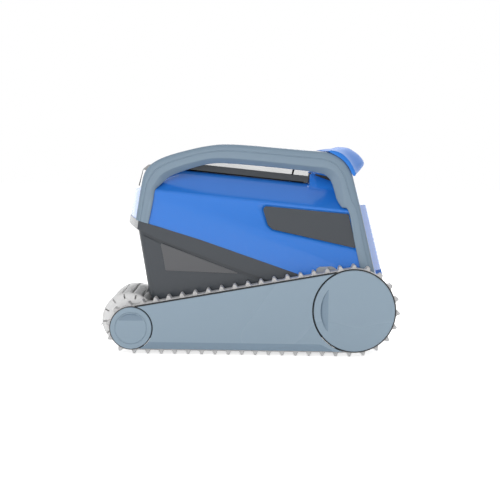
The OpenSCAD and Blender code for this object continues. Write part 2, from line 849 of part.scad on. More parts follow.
window_x = [-128, 52];
window_y = 62;
pivot_at = [-151, 262.5];
module lid_frame() {
    color(black) difference() {
        union() {
            difference() {
                intersection() {
                    across(deck_y) lid2d();
                    lid_form(0);
                }
                intersection() {
                    across(deck_y - 3) union() {
                        offset(delta = -3) lid2d();
                        translate([0, -5]) offset(delta = -3) lid2d();
                        translate([-1, -9]) offset(delta = -3) lid2d();
                    }
                    lid_form(3);
                }
            }
            for (s = [-1, 1]) on_side(s) {
                rod(hinge_at, 6, 62, 86);
                slab(62, 86) translate([80, hinge_at[1] - 3]) square([11, 8]);
            }
        }
        box([window_x[0], -window_y, 240], [window_x[1], window_y, 300]);
        for (s = [-1, 1]) on_side(s) rod(hinge_at, 3.06, 50, 99);
        // seat of the latch lever
        box([-180, -31, 200], [-142, 31, 300]);
    }
    // bridge behind the latch, with the ears of its pivot
    color(black) across(31) polygon([[-142, 255], [-139.5, 255], [-139.5, 268], [-142, 268]]);
    color(black) for (s = [-1, 1]) on_side(s) difference() {
        slab(28, 31) union() {
            translate(pivot_at) circle(4.2);
            translate([-151, 258.3]) square([9, 8.4]);
        }
        rod(pivot_at, 2.05, 20, 40);
    }
}

module lid_window() {
    color("#3a3f44", 0.6) intersection() {
        difference() {
            across(window_y) lid2d();
            across(window_y + 1) translate([0, -2.6]) lid2d();
            across(window_y + 1) translate([0, -12]) lid2d();
        }
        lid_form(0);
        box([window_x[0], -window_y, 200], [window_x[1], window_y, 300]);
    }
}

module latch_lever() {
    color(black) {
        rod(pivot_at, 3.8, -27.4, 27.4);
        rod(pivot_at, 2, -30.8, 30.8);
        across(27.4) polygon([
            [-153, 259], [-150, 266.3], [-153, 266.5], [-160.5, 261], [-166.8, 236.5],
            [-163.8, 236.5], [-157.5, 259]
        ]);
    }
}

module lid_seal() {
    color(black) difference() {
        intersection() {
            across(deck_y - 5) difference() {
                translate([0, 1.2]) polygon([
                    [-150, 235], [front_deck_x, deck_at(front_deck_x)], [80, deck_at(80)], [80, 200], [-150, 200]
                ]);
                polygon([
                    [-190, nose_z - 2.1], [front_deck_x, deck_at(front_deck_x)], [90, deck_at(90)], [90, 190], [-190, 190]
                ]);
            }
            box([-145, -lid_open_y - 5, 200], [76, lid_open_y + 5, 300]);
        }
        box([-200, -lid_open_y - 1, 190], [lid_open_x[1] + 1, lid_open_y + 1, 300]);
    }
}

module hinge_pin() {
    color(steel) rod(hinge_at, 3, -95, 95);
}

// ---- cable entry ----

module cable_gland() {
    color(black) translate([0, gland_at[0], gland_at[1]]) rotate([0, 90, 0]) difference() {
        union() {
            translate([0, 0, 160]) cylinder(r = 7.95, h = 24);
            translate([0, 0, 174.1]) cylinder(r = 12, h = 6, $fn = 6);
            translate([0, 0, 180]) cylinder(r1 = 9.5, r2 = 6.5, h = 12);
        }
        translate([0, 0, 150]) cylinder(r = 4.5, h = 60);
    }
}

module gland_nut() {
    color(black) translate([161, gland_at[0], gland_at[1]]) rotate([0, 90, 0]) difference() {
        cylinder(r = 12, h = 6, $fn = 6);
        translate([0, 0, -1]) cylinder(r = 8, h = 8);
    }
}

lower_hull();
waist_band();
upper_shell();
side_inlay(-1);  // side_inlay_left
side_inlay(1);  // side_inlay_right
arch_frame(-1);  // arch_frame_left
arch_frame(1);  // arch_frame_right
carry_handle();
rear_panel();
bottom_plate();
side_cover(-1);  // side_cover_left
side_cover(1);  // side_cover_right
track_frame(-1);  // track_frame_left
track_frame(1);  // track_frame_right
track_belt(-1);  // track_belt_left
track_belt(1);  // track_belt_right
brush_arm(-1);  // brush_arm_left
brush_arm(1);  // brush_arm_right
centre_bracket();
wheel_axles();
pulley_axle(-1);  // pulley_axle_left
pulley_axle(1);  // pulley_axle_right
motor_housing();
motor_cap();
motor_seal();
pump_motor();
drive_motors();
control_board();
pump_duct();
outlet_grille();
filter_basket();
filter_panels();
float_blocks();
flap_pins();
lid_seal();
hinge_pin();
cable_gland();
gland_nut();
plate_screws();
lid_frame();
lid_window();
latch_lever();
wheel(-1);  // wheel_left
wheel(1);  // wheel_right
wheel_disc(-1);  // wheel_disc_left
wheel_disc(1);  // wheel_disc_right
wheel_bushes(-1);  // wheel_bushes_left
wheel_bushes(1);  // wheel_bushes_right
pulley(-1);  // pulley_left
pulley(1);  // pulley_right
brush_core(-1);  // brush_core_left
brush_core(1);  // brush_core_right
brush_sleeve(-1);  // brush_sleeve_left
brush_sleeve(1);  // brush_sleeve_right
drive_pinion(-1);  // drive_pinion_left
drive_pinion(1);  // drive_pinion_right
impeller();
impeller_nut();
intake_flap(0);  // intake_flap_front
intake_flap(1);  // intake_flap_rear
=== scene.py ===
import bpy
import bmesh
from math import asin, atan2, cos, hypot, pi, radians, sin, sqrt, tan
from mathutils import Vector, Matrix


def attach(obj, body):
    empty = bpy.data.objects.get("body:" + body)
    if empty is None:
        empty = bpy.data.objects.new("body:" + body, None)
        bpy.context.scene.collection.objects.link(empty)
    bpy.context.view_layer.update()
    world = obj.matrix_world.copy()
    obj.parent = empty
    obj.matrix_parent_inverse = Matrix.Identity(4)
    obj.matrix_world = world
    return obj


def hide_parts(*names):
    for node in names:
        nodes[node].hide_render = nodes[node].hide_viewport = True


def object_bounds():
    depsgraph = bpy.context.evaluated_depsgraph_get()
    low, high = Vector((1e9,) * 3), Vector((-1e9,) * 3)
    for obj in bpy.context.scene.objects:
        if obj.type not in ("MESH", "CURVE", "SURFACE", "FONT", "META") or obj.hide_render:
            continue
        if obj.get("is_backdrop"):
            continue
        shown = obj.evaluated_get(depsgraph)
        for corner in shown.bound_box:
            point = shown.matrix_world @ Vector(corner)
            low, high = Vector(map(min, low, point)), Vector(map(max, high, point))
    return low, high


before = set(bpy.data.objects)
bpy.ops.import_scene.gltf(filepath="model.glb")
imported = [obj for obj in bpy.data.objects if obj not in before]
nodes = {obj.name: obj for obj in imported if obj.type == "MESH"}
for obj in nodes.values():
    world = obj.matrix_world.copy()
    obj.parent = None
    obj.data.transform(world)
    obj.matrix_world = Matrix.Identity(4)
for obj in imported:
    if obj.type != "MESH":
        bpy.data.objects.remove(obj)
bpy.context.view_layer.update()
mm = 0.001  # every length below is in millimetres
axis = 0.0001  # radius of a lathed shape's innermost ring
sides = ((-1, "Left"), (1, "Right"))
scene = bpy.context.scene
print("frame loaded:", len(nodes), "nodes")


def addObject(name, data):
    thing = bpy.data.objects.new(name, data)
    scene.collection.objects.link(thing)
    return thing


# camera, level with the carry frame and square to the left side
view = {"distance": 3770, "height": 299.3, "lens": 181.4, "down": 2.39, "roll": 0.83}
tilt, turn = radians(view["down"]), radians(view["roll"])
ahead = Vector((0, cos(tilt), -sin(tilt)))
level = Vector((1, 0, 0))
up = level.cross(ahead)
right = cos(turn) * level + sin(turn) * up
up = right.cross(ahead)
eye = addObject("camera", bpy.data.cameras.new("camera"))
eye.matrix_world = Matrix((
    (right.x, up.x, -ahead.x, 0),
    (right.y, up.y, -ahead.y, -view["distance"] * mm),
    (right.z, up.z, -ahead.z, view["height"] * mm),
    (0, 0, 0, 1),
))
eye.data.lens, eye.data.sensor_width = view["lens"], 36
eye.data.clip_start, eye.data.clip_end = 0.05, 60
bpy.context.scene.camera = eye
scene.view_settings.view_transform = "Standard"
print("camera set")


def colourOf(code):  # sRGB hex to linear
    parts = [int(code[i:i + 2], 16) / 255 for i in (1, 3, 5)]
    return [c / 12.92 if c <= 0.04045 else ((c + 0.055) / 1.055) ** 2.4 for c in parts] + [1]


def addNode(tree, kind, inputs=None, **settings):  # inputs: socket name or number -> value or socket
    node = tree.nodes.new(kind)
    for name, value in settings.items():
        setattr(node, name, value)
    for name, value in (inputs or {}).items():
        if isinstance(value, bpy.types.NodeSocket):
            tree.links.new(value, node.inputs[name])
        else:
            node.inputs[name].default_value = value
    return node


# world: a white sweep seen in gloss, and a softer even fill on matt faces
studio = {"front": 0.85, "behind": 1.75, "fill": 0.35,
          "key": 63, "keyFrom": (-700, -3300, 950), "keySize": 2500,
          "top": 27, "topFrom": (250, 1850, 2480), "topSize": 1200,
          "back": 22, "backFrom": (1500, 3000, 1500), "backSize": 2400,
          "side": 16, "sideFrom": (-3200, 1400, 1100), "sideSize": 2200,
          "aim": (0, 0, 130), "paper": "#F2F2F2", "glow": (0.72, 0.10)}
world = bpy.data.worlds.new("studio")
scene.world = world
world.use_nodes = True
tree = world.node_tree
tree.nodes.clear()
path = addNode(tree, "ShaderNodeLightPath")
soft = addNode(tree, "ShaderNodeBackground", {"Color": (1, 1, 1, 1), "Strength": studio["fill"]})
where = addNode(tree, "ShaderNodeTexCoord")
parts = addNode(tree, "ShaderNodeSeparateXYZ", {0: where.outputs["Generated"]})
depth = addNode(tree, "ShaderNodeMapRange", {0: parts.outputs["Y"], 1: 0.45, 2: 0.9,
                                             3: studio["front"], 4: studio["behind"]})
gloss = addNode(tree, "ShaderNodeBackground", {"Color": (1, 1, 1, 1), "Strength": depth.outputs[0]})
clear = addNode(tree, "ShaderNodeBackground", {"Color": (1, 1, 1, 1), "Strength": 1.0})
pick = addNode(tree, "ShaderNodeMixShader",
               {0: path.outputs["Is Diffuse Ray"], 1: gloss.outputs[0], 2: soft.outputs[0]})
seen = addNode(tree, "ShaderNodeMixShader",
               {0: path.outputs["Is Camera Ray"], 1: pick.outputs[0], 2: clear.outputs[0]})
addNode(tree, "ShaderNodeOutputWorld", {"Surface": seen.outputs[0]})


for name in ("key", "top", "back", "side"):
    lamp = addObject(name + "Light", bpy.data.lights.new(name, "AREA"))
    lamp.data.energy, lamp.data.size = studio[name], studio[name + "Size"] * mm
    lamp.data.shape = "DISK"
    lamp.location = Vector(studio[name + "From"]) * mm
    lamp.visible_glossy = name == "top"  # only the overhead light shows in gloss
    aim = Vector(studio["aim"]) * mm - lamp.location
    lamp.rotation_euler = aim.to_track_quat("-Z", "Y").to_euler()

# pale floor that glows a little, so that it meets the white sweep
floorMesh = bpy.data.meshes.new("floor")
reach, drop = 14, -0.6 * mm
floorMesh.from_pydata([(x * reach, y * reach, drop) for x, y in ((-1, -1), (1, -1), (1, 1), (-1, 1))],
                      [], [(0, 1, 2, 3)])
floor = addObject("floor", floorMesh)
paper = bpy.data.materials.new("paperSweep")
paper.use_nodes = True
tree = paper.node_tree
tree.nodes.clear()
matt = addNode(tree, "ShaderNodeBsdfDiffuse", {"Color": colourOf(studio["paper"])})
path = addNode(tree, "ShaderNodeLightPath")
level = addNode(tree, "ShaderNodeMapRange", {0: path.outputs["Is Diffuse Ray"],
                                             3: studio["glow"][0], 4: studio["glow"][1]})
glow = addNode(tree, "ShaderNodeEmission", {"Color": (1, 1, 1, 1), "Strength": level.outputs[0]})
both = addNode(tree, "ShaderNodeAddShader", {0: matt.outputs[0], 1: glow.outputs[0]})
addNode(tree, "ShaderNodeOutputMaterial", {"Surface": both.outputs[0]})
floorMesh.materials.append(paper)
floor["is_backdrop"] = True
print("studio set")


# every finish: grain and blotch are real sizes in mm, and bump is the depth of the grain in mm
def finish(name, colour, roughness, grain, bump, mottle=0.04, blotch=45, ior=1.5, metallic=0.0,
           spread=0.06, stretch=(1, 1, 1), coat=0.0, clearness=0.0):
    material = bpy.data.materials.new(name)
    material.use_nodes = True
    tree = material.node_tree
    tree.nodes.clear()
    where = addNode(tree, "ShaderNodeTexCoord")
    spot = addNode(tree, "ShaderNodeMapping", {"Vector": where.outputs["Object"], "Scale": stretch})
    fine = addNode(tree, "ShaderNodeTexNoise", {"Vector": spot.outputs[0], "Scale": 1000 / grain,
                                               "Detail": 3.0, "Roughness": 0.55})
    wide = addNode(tree, "ShaderNodeTexNoise", {"Vector": where.outputs["Object"], "Scale": 1000 / blotch,
                                               "Detail": 2.0, "Roughness": 0.5})
    base = colourOf(colour)
    dim = [c * (1 - mottle) for c in base[:3]] + [1]
    lit = [min(1, c * (1 + mottle)) for c in base[:3]] + [1]
    blend = addNode(tree, "ShaderNodeMath", {0: wide.outputs[0], 1: fine.outputs[0]}, operation="ADD")
    share = addNode(tree, "ShaderNodeMapRange", {0: blend.outputs[0], 1: 0.6, 2: 1.4})
    tone = addNode(tree, "ShaderNodeMix", {0: share.outputs[0], 6: dim, 7: lit}, data_type="RGBA")
    gloss = addNode(tree, "ShaderNodeMapRange", {0: wide.outputs[0], 1: 0.2, 2: 0.8,
                                                 3: max(0.02, roughness - spread), 4: roughness + spread})
    relief = addNode(tree, "ShaderNodeBump", {"Height": fine.outputs[0], "Distance": bump * mm})
    shader = addNode(tree, "ShaderNodeBsdfPrincipled", {
        "Base Color": tone.outputs[2], "Roughness": gloss.outputs[0], "Normal": relief.outputs[0],
        "Metallic": metallic, "IOR": ior, "Coat Weight": coat, "Coat Roughness": 0.08,
        "Transmission Weight": clearness})
    addNode(tree, "ShaderNodeOutputMaterial", {"Surface": shader.outputs[0]})
    return material


# glossy injection-moulded ABS: even colour, faint spark texture, white edges at grazing angles
blueAbs = finish("blueMouldedAbs", "#2979D8", 0.17, 3.4, 0.0007, mottle=0.008, blotch=240, spread=0.015)
# the same resin with a satin grip texture, so it shines less
gripAbs = finish("blueSatinAbs", "#3380DC", 0.42, 3.4, 0.0005, mottle=0.008, blotch=240, spread=0.02,
                 ior=1.38)
# satin ABS of the tracks' covers and arches; the darker arch ABS also paints shade on the covers' lower chamfers and
# on the discs' and caps' facets
greyBlueAbs = finish("greyBlueMouldedAbs", "#8A9DAC", 0.27, 3.0, 0.0015, mottle=0.006, blotch=240,
                     spread=0.02)
archAbsAndFacetShade = finish("archMouldedAbs", "#7B8FA0", 0.25, 3.0, 0.0015, mottle=0.006, blotch=240, spread=0.02)
# charcoal polypropylene of the hull, with a fine spark grain
darkPp = finish("charcoalPolypropylene", "#3A3F45", 0.24, 3.0, 0.0015, mottle=0.012, blotch=240, spread=0.02)
# the same charcoal painted lighter on the raised hull facets: a painted reflection
facetReflectionPp = finish("lightCharcoalFacet", "#58595C", 0.30, 1.8, 0.005, mottle=0.02, spread=0.03)
# polished black ABS of the lid and latch
blackAbs = finish("blackGlossAbs", "#3A3E42", 0.14, 2.4, 0.002, mottle=0.02, ior=1.52, spread=0.02)
# glass-filled nylon: dull, with fibres that show as a faint mottle
nylon = finish("blackGlassNylon", "#26282A", 0.48, 1.2, 0.03, mottle=0.10, blotch=12)
# turned and moulded acetal: waxy white
acetal = finish("whiteAcetal", "#D9D8D2", 0.34, 2.0, 0.012, mottle=0.03)
# thermoplastic belt rubber: matt, a little dusty
beltTpe = finish("greyBeltRubber", "#C4C3C3", 0.60, 1.6, 0.04, mottle=0.05, blotch=18)
# foamed brush rubber, soft and almost white
brushTpe = finish("whiteBrushRubber", "#E2E2E2", 0.62, 1.5, 0.04, mottle=0.04, blotch=22)
# moulded seal and flap rubbers: matt, patchy with use
nitrile = finish("blackSealRubber", "#232426", 0.66, 1.4, 0.04, mottle=0.12, blotch=9)
flapRubber = finish("greyFlapRubber", "#6E7073", 0.6, 1.4, 0.04, mottle=0.08, blotch=12)
# 304 bar and screws, drawn and tumbled
stainless = finish("brushedStainless", "#C9CACC", 0.26, 1.1, 0.012, mottle=0.07, blotch=14, metallic=1.0,
                   stretch=(1, 0.15, 1))
# drawn and zinc-plated steel of the motor cans: dull, slightly spangled
canSteel = finish("motorCanSteel", "#A6A9AC", 0.38, 1.0, 0.02, mottle=0.08, blotch=16, metallic=1.0)
# closed-cell foam floats: matt, with a skin of fine cells
foam = finish("closedCellFoam", "#E4E0D4", 0.85, 2.2, 0.25, mottle=0.06, blotch=10)
# solder mask over copper: glossy green, mottled
board = finish("greenSolderMask", "#1F6B41", 0.32, 1.8, 0.02, mottle=0.14, blotch=5, coat=0.3)
# natural polypropylene of the basket, satin
greyPlastic = finish("paleGreyPolypropylene", "#9A9EA2", 0.42, 2.0, 0.014, mottle=0.03)
# tinted clear polycarbonate: sharp highlights, dark contents seen dimly
smoke = finish("smokedPolycarbonate", "#6C7176", 0.06, 4.0, 0.002, mottle=0.02, ior=1.58, clearness=0.92)


def wovenMesh(name, thread, gap, pitch):  # nylon filter cloth; its 0.2 mm cells are drawn at the pitch in mm
    material = finish(name, thread, 0.7, 1.2, 0.05, mottle=0.05)
    tree = material.node_tree
    shader = next(n for n in tree.nodes if n.type == "BSDF_PRINCIPLED")
    where = next(n for n in tree.nodes if n.type == "TEX_COORD")
    cells = addNode(tree, "ShaderNodeTexChecker", {"Vector": where.outputs["Object"], "Scale": 1000 / pitch,
                                                   "Color1": colourOf(thread), "Color2": colourOf(gap)})
    relief = addNode(tree, "ShaderNodeBump", {"Height": cells.outputs["Fac"], "Distance": 0.15 * mm})
    tree.links.new(cells.outputs["Color"], shader.inputs["Base Color"])
    tree.links.new(relief.outputs[0], shader.inputs["Normal"])
    return material


cloth = wovenMesh("wovenFilterCloth", "#D6D9DC", "#8E9499", 2.2)
print("finishes made")


# mesh helpers
def tidyMesh(mesh, sharp=38):  # merged, closed, outward and smooth but for its real edges
    bm = bmesh.new()
    bm.from_mesh(mesh)
    bmesh.ops.remove_doubles(bm, verts=bm.verts, dist=2e-6)
    bmesh.ops.dissolve_degenerate(bm, edges=bm.edges, dist=1e-7)
    bmesh.ops.recalc_face_normals(bm, faces=bm.faces)
    for face in bm.faces:
        face.smooth = True
    bm.to_mesh(mesh)
    bm.free()
    mesh.set_sharp_from_angle(angle=radians(sharp))


def meshOf(name, points, faces, sharp=38):
    mesh = bpy.data.meshes.new(name)
    mesh.from_pydata([[c * mm for c in p] for p in points], [], faces)
    tidyMesh(mesh, sharp)
    return mesh


def loft(name, rings, closed=False, sharp=38):  # rings of equal length; flat ends unless closed
    count, size = len(rings), len(rings[0])
    points = [p for ring in rings for p in ring]
    faces = []
    for i in range(count if closed else count - 1):
        a, b = i * size, (i + 1) % count * size
        for j in range(size):
            k = (j + 1) % size
            faces.append((a + j, a + k, b + k, b + j))
    if not closed:
        faces.append(tuple(range(size)))
        faces.append(tuple(range((count - 1) * size, count * size)))
    return addObject(name, meshOf(name, points, faces, sharp))


# profile of (radius, y) turned about an axis along Y, on the side given
def lathe(name, centre, profile, steps=128, side=1):
    rings = [[(centre[0] + r * cos(2 * pi * i / steps), side * y, centre[1] + r * sin(2 * pi * i / steps))
              for r, y in profile] for i in range(steps)]
    return loft(name, rings, closed=True, sharp=30)


def prism(name, outline, low, high, sharp=30):  # an outline in X and Z from y low to y high
    return loft(name, [[(x, low, z) for x, z in outline], [(x, high, z) for x, z in outline]], sharp=sharp)


def bakeModifiers(thing):
    bpy.context.view_layer.update()
    graph = bpy.context.evaluated_depsgraph_get()
    mesh = bpy.data.meshes.new_from_object(thing.evaluated_get(graph))
    thing.modifiers.clear()
    old = thing.data
    thing.data = mesh
    mesh.name = thing.name
    bpy.data.meshes.remove(old)
    return thing


def forget(*things):
    for thing in things:
        mesh = thing.data
        bpy.data.objects.remove(thing)
        bpy.data.meshes.remove(mesh)


def carve(thing, tool, how="DIFFERENCE", sharp=38):
    cut = thing.modifiers.new("carve", "BOOLEAN")
    cut.operation, cut.solver, cut.object = how, "EXACT", tool
    bakeModifiers(thing)
    forget(tool)
    tidyMesh(thing.data, sharp)
    return thing


def roundEdges(thing, width, segments=2, angle=30):
    edge = thing.modifiers.new("round", "BEVEL")
    edge.width, edge.segments, edge.limit_method = width * mm, segments, "ANGLE"
    edge.angle_limit, edge.use_clamp_overlap = radians(angle), True
    even = thing.modifiers.new("even", "WEIGHTED_NORMAL")
    even.keep_sharp = False
    for face in thing.data.polygons:
        face.use_smooth = True
    for e in thing.data.edges:
        e.use_edge_sharp = False
    return bakeModifiers(thing)


def between(side, near, far):  # two places across, on one side, in rising order
    return sorted((side * near, side * far))


def slab(name, outline, side, near, far):  # a prism on one side of the machine
    return prism(name, outline, *between(side, near, far))


def place(thing, material, body, slot, *replaced):
    thing.data.materials.clear()
    thing.data.materials.append(material)
    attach(thing, body)
    if replaced:
        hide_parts(*replaced)
    return thing


# a merged copy of a CAD node with rounded edges; wide picks edges for a larger radius
def copyOf(source, name, width=0.0, segments=2, angle=30, wide=()):
    mesh = nodes[source].data.copy()
    mesh.materials.clear()
    if mesh.attributes.get("custom_normal"):
        mesh.attributes.remove(mesh.attributes["custom_normal"])
    bm = bmesh.new()
    bm.from_mesh(mesh)
    bmesh.ops.remove_doubles(bm, verts=bm.verts, dist=4e-6)
    bmesh.ops.dissolve_limit(bm, angle_limit=radians(0.4), verts=bm.verts, edges=bm.edges)
    for size, steps, test in wide:
        chosen = [e for e in bm.edges
                  if len(e.link_faces) == 2 and e.calc_face_angle(0) > radians(20)
                  and test(*[v.co / mm for v in e.verts])]
        bmesh.ops.bevel(bm, geom=chosen, offset=size * mm, segments=steps, profile=0.5,
                        affect="EDGES", clamp_overlap=True)
    bm.to_mesh(mesh)
    bm.free()
    thing = addObject(name, mesh)
    if width:
        return roundEdges(thing, width, segments, angle)
    tidyMesh(mesh)
    return thing


def smoothPath(points, steps):  # Catmull-Rom through points of any size
    out = []
    for i in range(len(points) - 1):
        a, b = points[max(i - 1, 0)], points[i]
        c, d = points[i + 1], points[min(i + 2, len(points) - 1)]
        for k in range(steps):
            t = k / steps
            out.append([0.5 * (2 * q + (r - p) * t + (2 * p - 5 * q + 4 * r - s) * t ** 2
                               + (3 * q - p - 3 * r + s) * t ** 3) for p, q, r, s in zip(a, b, c, d)])
    return out + [list(points[-1])]


def roundedOutline(corners, radius, steps=5):  # corners of a polygon, each turned on a radius
    out = []
    for i, corner in enumerate(corners):
        p, q, r = Vector(corners[i - 1]), Vector(corner), Vector(corners[(i + 1) % len(corners)])
        size = radius[i] if isinstance(radius, (list, tuple)) else radius
        a, b = (p - q).normalized(), (r - q).normalized()
        half = a.angle(b) / 2
        if size <= 0 or half > radians(89):
            out.append(tuple(q))
            continue
        reach = min(size / tan(half), (p - q).length * 0.49, (r - q).length * 0.49)
        size = reach * tan(half)
        middle = q + (a + b).normalized() * (size / sin(half))
        start, end = q + a * reach - middle, q + b * reach - middle
        sweep = start.angle_signed(end)
        for k in range(steps + 1):
            turnBy = -sweep * k / steps
            out.append((middle.x + start.x * cos(turnBy) - start.y * sin(turnBy),
                        middle.y + start.x * sin(turnBy) + start.y * cos(turnBy)))
    return out


def grown(corners, by):  # a convex or mildly concave outline moved outwards
    size = len(corners)
    area = sum(a[0] * b[1] - b[0] * a[1] for a, b in zip(corners[-1:] + corners[:-1], corners))
    side = 1 if area > 0 else -1
    out = []
    for i in range(size):
        p, q, r = Vector(corners[i - 1]), Vector(corners[i]), Vector(corners[(i + 1) % size])
        n1 = Vector((q.y - p.y, p.x - q.x)).normalized() * side
        n2 = Vector((r.y - q.y, q.x - r.x)).normalized() * side
        out.append(tuple(q + (n1 + n2) * (by / (1 + n1.dot(n2)))))
    return out


# body form, shared by the shell, the waist band and the arches' feet
bodyForm = {"halfWidth": 143, "deckHalf": 98, "crease": 218.3, "deck": 252.3, "tilt": 5.36,
            "frontRadius": 577, "rearRadius": 700, "frontLean": 6.8, "rearLean": 13.9,
            "front": (-175.5, 210), "rear": (166, 206), "deckFront": (-100, 261.7), "nose": (-185, 225.8),
            "creaseRadius": 7, "joinSoftness": 3.0, "wall": 3.2}
f = bodyForm
lean = radians(f["tilt"])


def endOf(front, y, z, inset=0.0):  # x of the bulged front or rear at a place across and up
    tip, radius = (f["front"], f["frontRadius"]) if front else (f["rear"], f["rearRadius"])
    slope = tan(radians(f["frontLean"])) if front else -tan(radians(f["rearLean"]))
    side = 1 if front else -1
    radius -= inset
    return tip[0] + side * inset + (z - tip[1]) * slope + side * (radius - sqrt(max(1, radius ** 2 - y * y)))


def sideAt(x, z, inset=0.0):  # half width of the body at a point seen from the side
    height = z * cos(lean) + x * sin(lean)
    half = f["halfWidth"] - max(0, height - f["crease"]) * (
        f["halfWidth"] - f["deckHalf"]) / (f["deck"] - f["crease"])
    for front in (True, False):
        tip, radius = (f["front"], f["frontRadius"]) if front else (f["rear"], f["rearRadius"])
        deep = (x - endOf(front, 0, z)) * (1 if front else -1)
        half = min(half, sqrt(max(0, 2 * radius * max(0, deep) - deep * deep)))
    return half - inset


def topAt(x):
    if x > f["deckFront"][0]:
        return f["deckFront"][1] - (x - f["deckFront"][0]) * tan(lean)
    share = (x - f["deckFront"][0]) / (f["nose"][0] - f["deckFront"][0])
    return f["deckFront"][1] + share * (f["nose"][1] - f["deckFront"][1])


def roofAt(y, x, inset):  # height of the slopes and the deck, softly joined
    r, wide = f["creaseRadius"], f["halfWidth"] - inset
    rise = (f["deck"] - f["crease"]) / (f["halfWidth"] - f["deckHalf"])
    slope = atan2(rise, 1)
    crease = f["crease"] - 0.4 * inset
    reach = r * tan((pi / 2 - slope) / 2)  # from the sharp crease to where its rounding starts
    gap = wide - abs(y)
    if gap < r * (1 - sin(slope)):
        height = crease - reach + sqrt(max(0, r * r - (r - gap) ** 2))
    else:
        height = crease + gap * rise
    z = (height - x * sin(lean)) / cos(lean)
    roof = topAt(x) - inset
    return roof + (z - roof - sqrt((z - roof) ** 2 + f["joinSoftness"] ** 2)) / 2


# the body's closed outer form, drawn in by inset, from a low level up to the deck
def bodyBlock(name, inset, low=60, columns=26, rows=64, turns=7, strips=20):
    r, wide = f["creaseRadius"], f["halfWidth"] - inset
    across = [wide - r * (1 - cos(a * pi / 2 / turns)) for a in range(turns + 1)]
    flat = across[-1]
    across += [flat - k * flat / strips for k in range(1, strips + 1)]
    across += [-y for y in across[-2::-1]]
    rings = []
    for y in across:
        ring = []
        for front in (True, False):
            x = endOf(front, y, 240, inset)
            for _ in range(8):  # settles on the edge where the end meets the roof
                x = endOf(front, y, roofAt(y, x, inset), inset)
            top = roofAt(y, x, inset)
            side = [(endOf(front, y, z, inset), y, z)
                    for z in (low + (top - low) * k / columns for k in range(columns + 1))]
            ring.append(side)
        front, rear = ring
        start, stop = front[-1][0], rear[-1][0]
        deck = [start + (stop - start) * k / rows for k in range(1, rows)]
        deck = [(x, y, roofAt(y, x, inset)) for x in deck]
        rings.append(front + deck + rear[::-1])
    return loft(name, rings, sharp=30)


# shell, band and hull
shellParts = {"bandTop": [(-185, 195.3), (-72, 161.7), (112, 100)],
              "bandLow": [(-185, 185.7), (-130.6, 160.9), (-16.8, 119.9), (38.4, 100)],
              "trimHalf": 160, "opening": (-158, 70, 80), "well": (118, 30.9, 215, 60),
              "hinge": (91, 252.5), "pinBore": 3.02, "lug": (88, 95),
              "inlay": [(16.3, 211.9), (141.3, 201.7), (152.9, 152.4), (32.4, 177.9), (25.4, 183.7)],
              "inlayDepth": 2.4, "seatWide": 6.4, "seatTight": 0.6, "seatLip": 1.9, "bandProud": 1.5}
s = shellParts
above = s["bandTop"] + [(215, 100), (215, 330), (-190, 330), (-190, 195.3)]
shell = bodyBlock("upperShell", 0)
cavity = bodyBlock("shellCavity", f["wall"])
carve(shell, cavity)
carve(shell, prism("shellTrim", above, -s["trimHalf"], s["trimHalf"]), "INTERSECT")
low, high, half = s["opening"]
carve(shell, prism("shellOpening", [(low, 200), (high, 200), (high, 290), (low, 290)], -half, half))
middle, radius, foot, high = s["well"]
well = lathe("pumpWell", (0, 0), [(axis, 0), (radius, 0), (radius, high), (axis, high)], 96)
for v in well.data.vertices:  # stood upright at the pump
    x, y, z = v.co
    v.co = (x + middle * mm, z, y + foot * mm)
tidyMesh(well.data)
carve(shell, well)
inlayShape = roundedOutline(s["inlay"], [5, 2, 2, 6, 6], 5)
for side in (-1, 1):
    deep, face = f["halfWidth"] - s["inlayDepth"], f["halfWidth"]
    wide = roundedOutline(grown(s["inlay"], s["seatWide"]), [9, 5, 5, 10, 10], 5)
    inner = roundedOutline(grown(s["inlay"], s["seatTight"]), [6, 3, 3, 7, 7], 5)
    rings = [[(x, side * y, z) for x, z in shape] for shape, y in
             ((inner, deep), (inner, face - s["seatLip"]), (wide, face), (wide, face + 6))]
    carve(shell, loft("inlaySeat", rings, sharp=20))
# lugs that hold the hinge pin
hx, hz = s["hinge"]
for side in (-1, 1):
    ear = roundedOutline([(85, 243), (101, 243), (hx + 6, hz + 6), (hx - 6, hz + 6)], [0, 0, 5.9, 5.9], 7)
    carve(shell, slab("hingeLug", ear, side, *s["lug"]), "UNION")
    r, near, far = s["pinBore"], 80, 100
    carve(shell, lathe("hingeBore", (hx, hz), [(axis, near), (r, near), (r, far), (axis, far)], 48, side))
# cheeks beside the lid's hinge, each with a black nylon plate sunk in a recess: the recess shades it for real, and
# the plate's black is painted shade
cheekParts = {"outline": [(85.2, 236), (85.2, 256.5), (88, 259.9), (104, 259.6), (120, 254.5), (124, 236)],
              "near": 98.5, "far": 102.2, "shadePlate": [(93.0, 256.4), (93.6, 258.7), (121, 252.8), (121, 246.4)],
              "shadePlateDeep": 2.6, "shadePlateBack": 0.4}
c = cheekParts
cheekShape = roundedOutline(c["outline"], [0, 2, 3, 6, 3, 0], 4)
for side, name in sides:
    carve(shell, roundEdges(slab("hingeCheek", cheekShape, side, c["near"], c["far"]), 0.8, 3), "UNION")
    deep = c["far"] - c["shadePlateDeep"]
    carve(shell, slab("ventSeat", c["shadePlate"], side, deep, c["far"] + 2))
    shadePlate = slab("hingeVent" + name, c["shadePlate"], side, deep - c["shadePlateBack"], deep + c["shadePlateBack"])
    place(shadePlate, nylon, "body", "black_plastic")
place(shell, blueAbs, "body", "blue_plastic", "upper_shell")
print("upper shell made")

band = bodyBlock("waistBand", -s["bandProud"])
carve(band, bodyBlock("bandCavity", f["wall"]))
stripe = s["bandTop"] + [(112, 90), (38.4, 90)] + s["bandLow"][::-1]
carve(band, prism("bandTrim", stripe, -s["trimHalf"], s["trimHalf"]), "INTERSECT")
place(band, darkPp, "body", "dark_plastic", "waist_band")
print("waist band made")

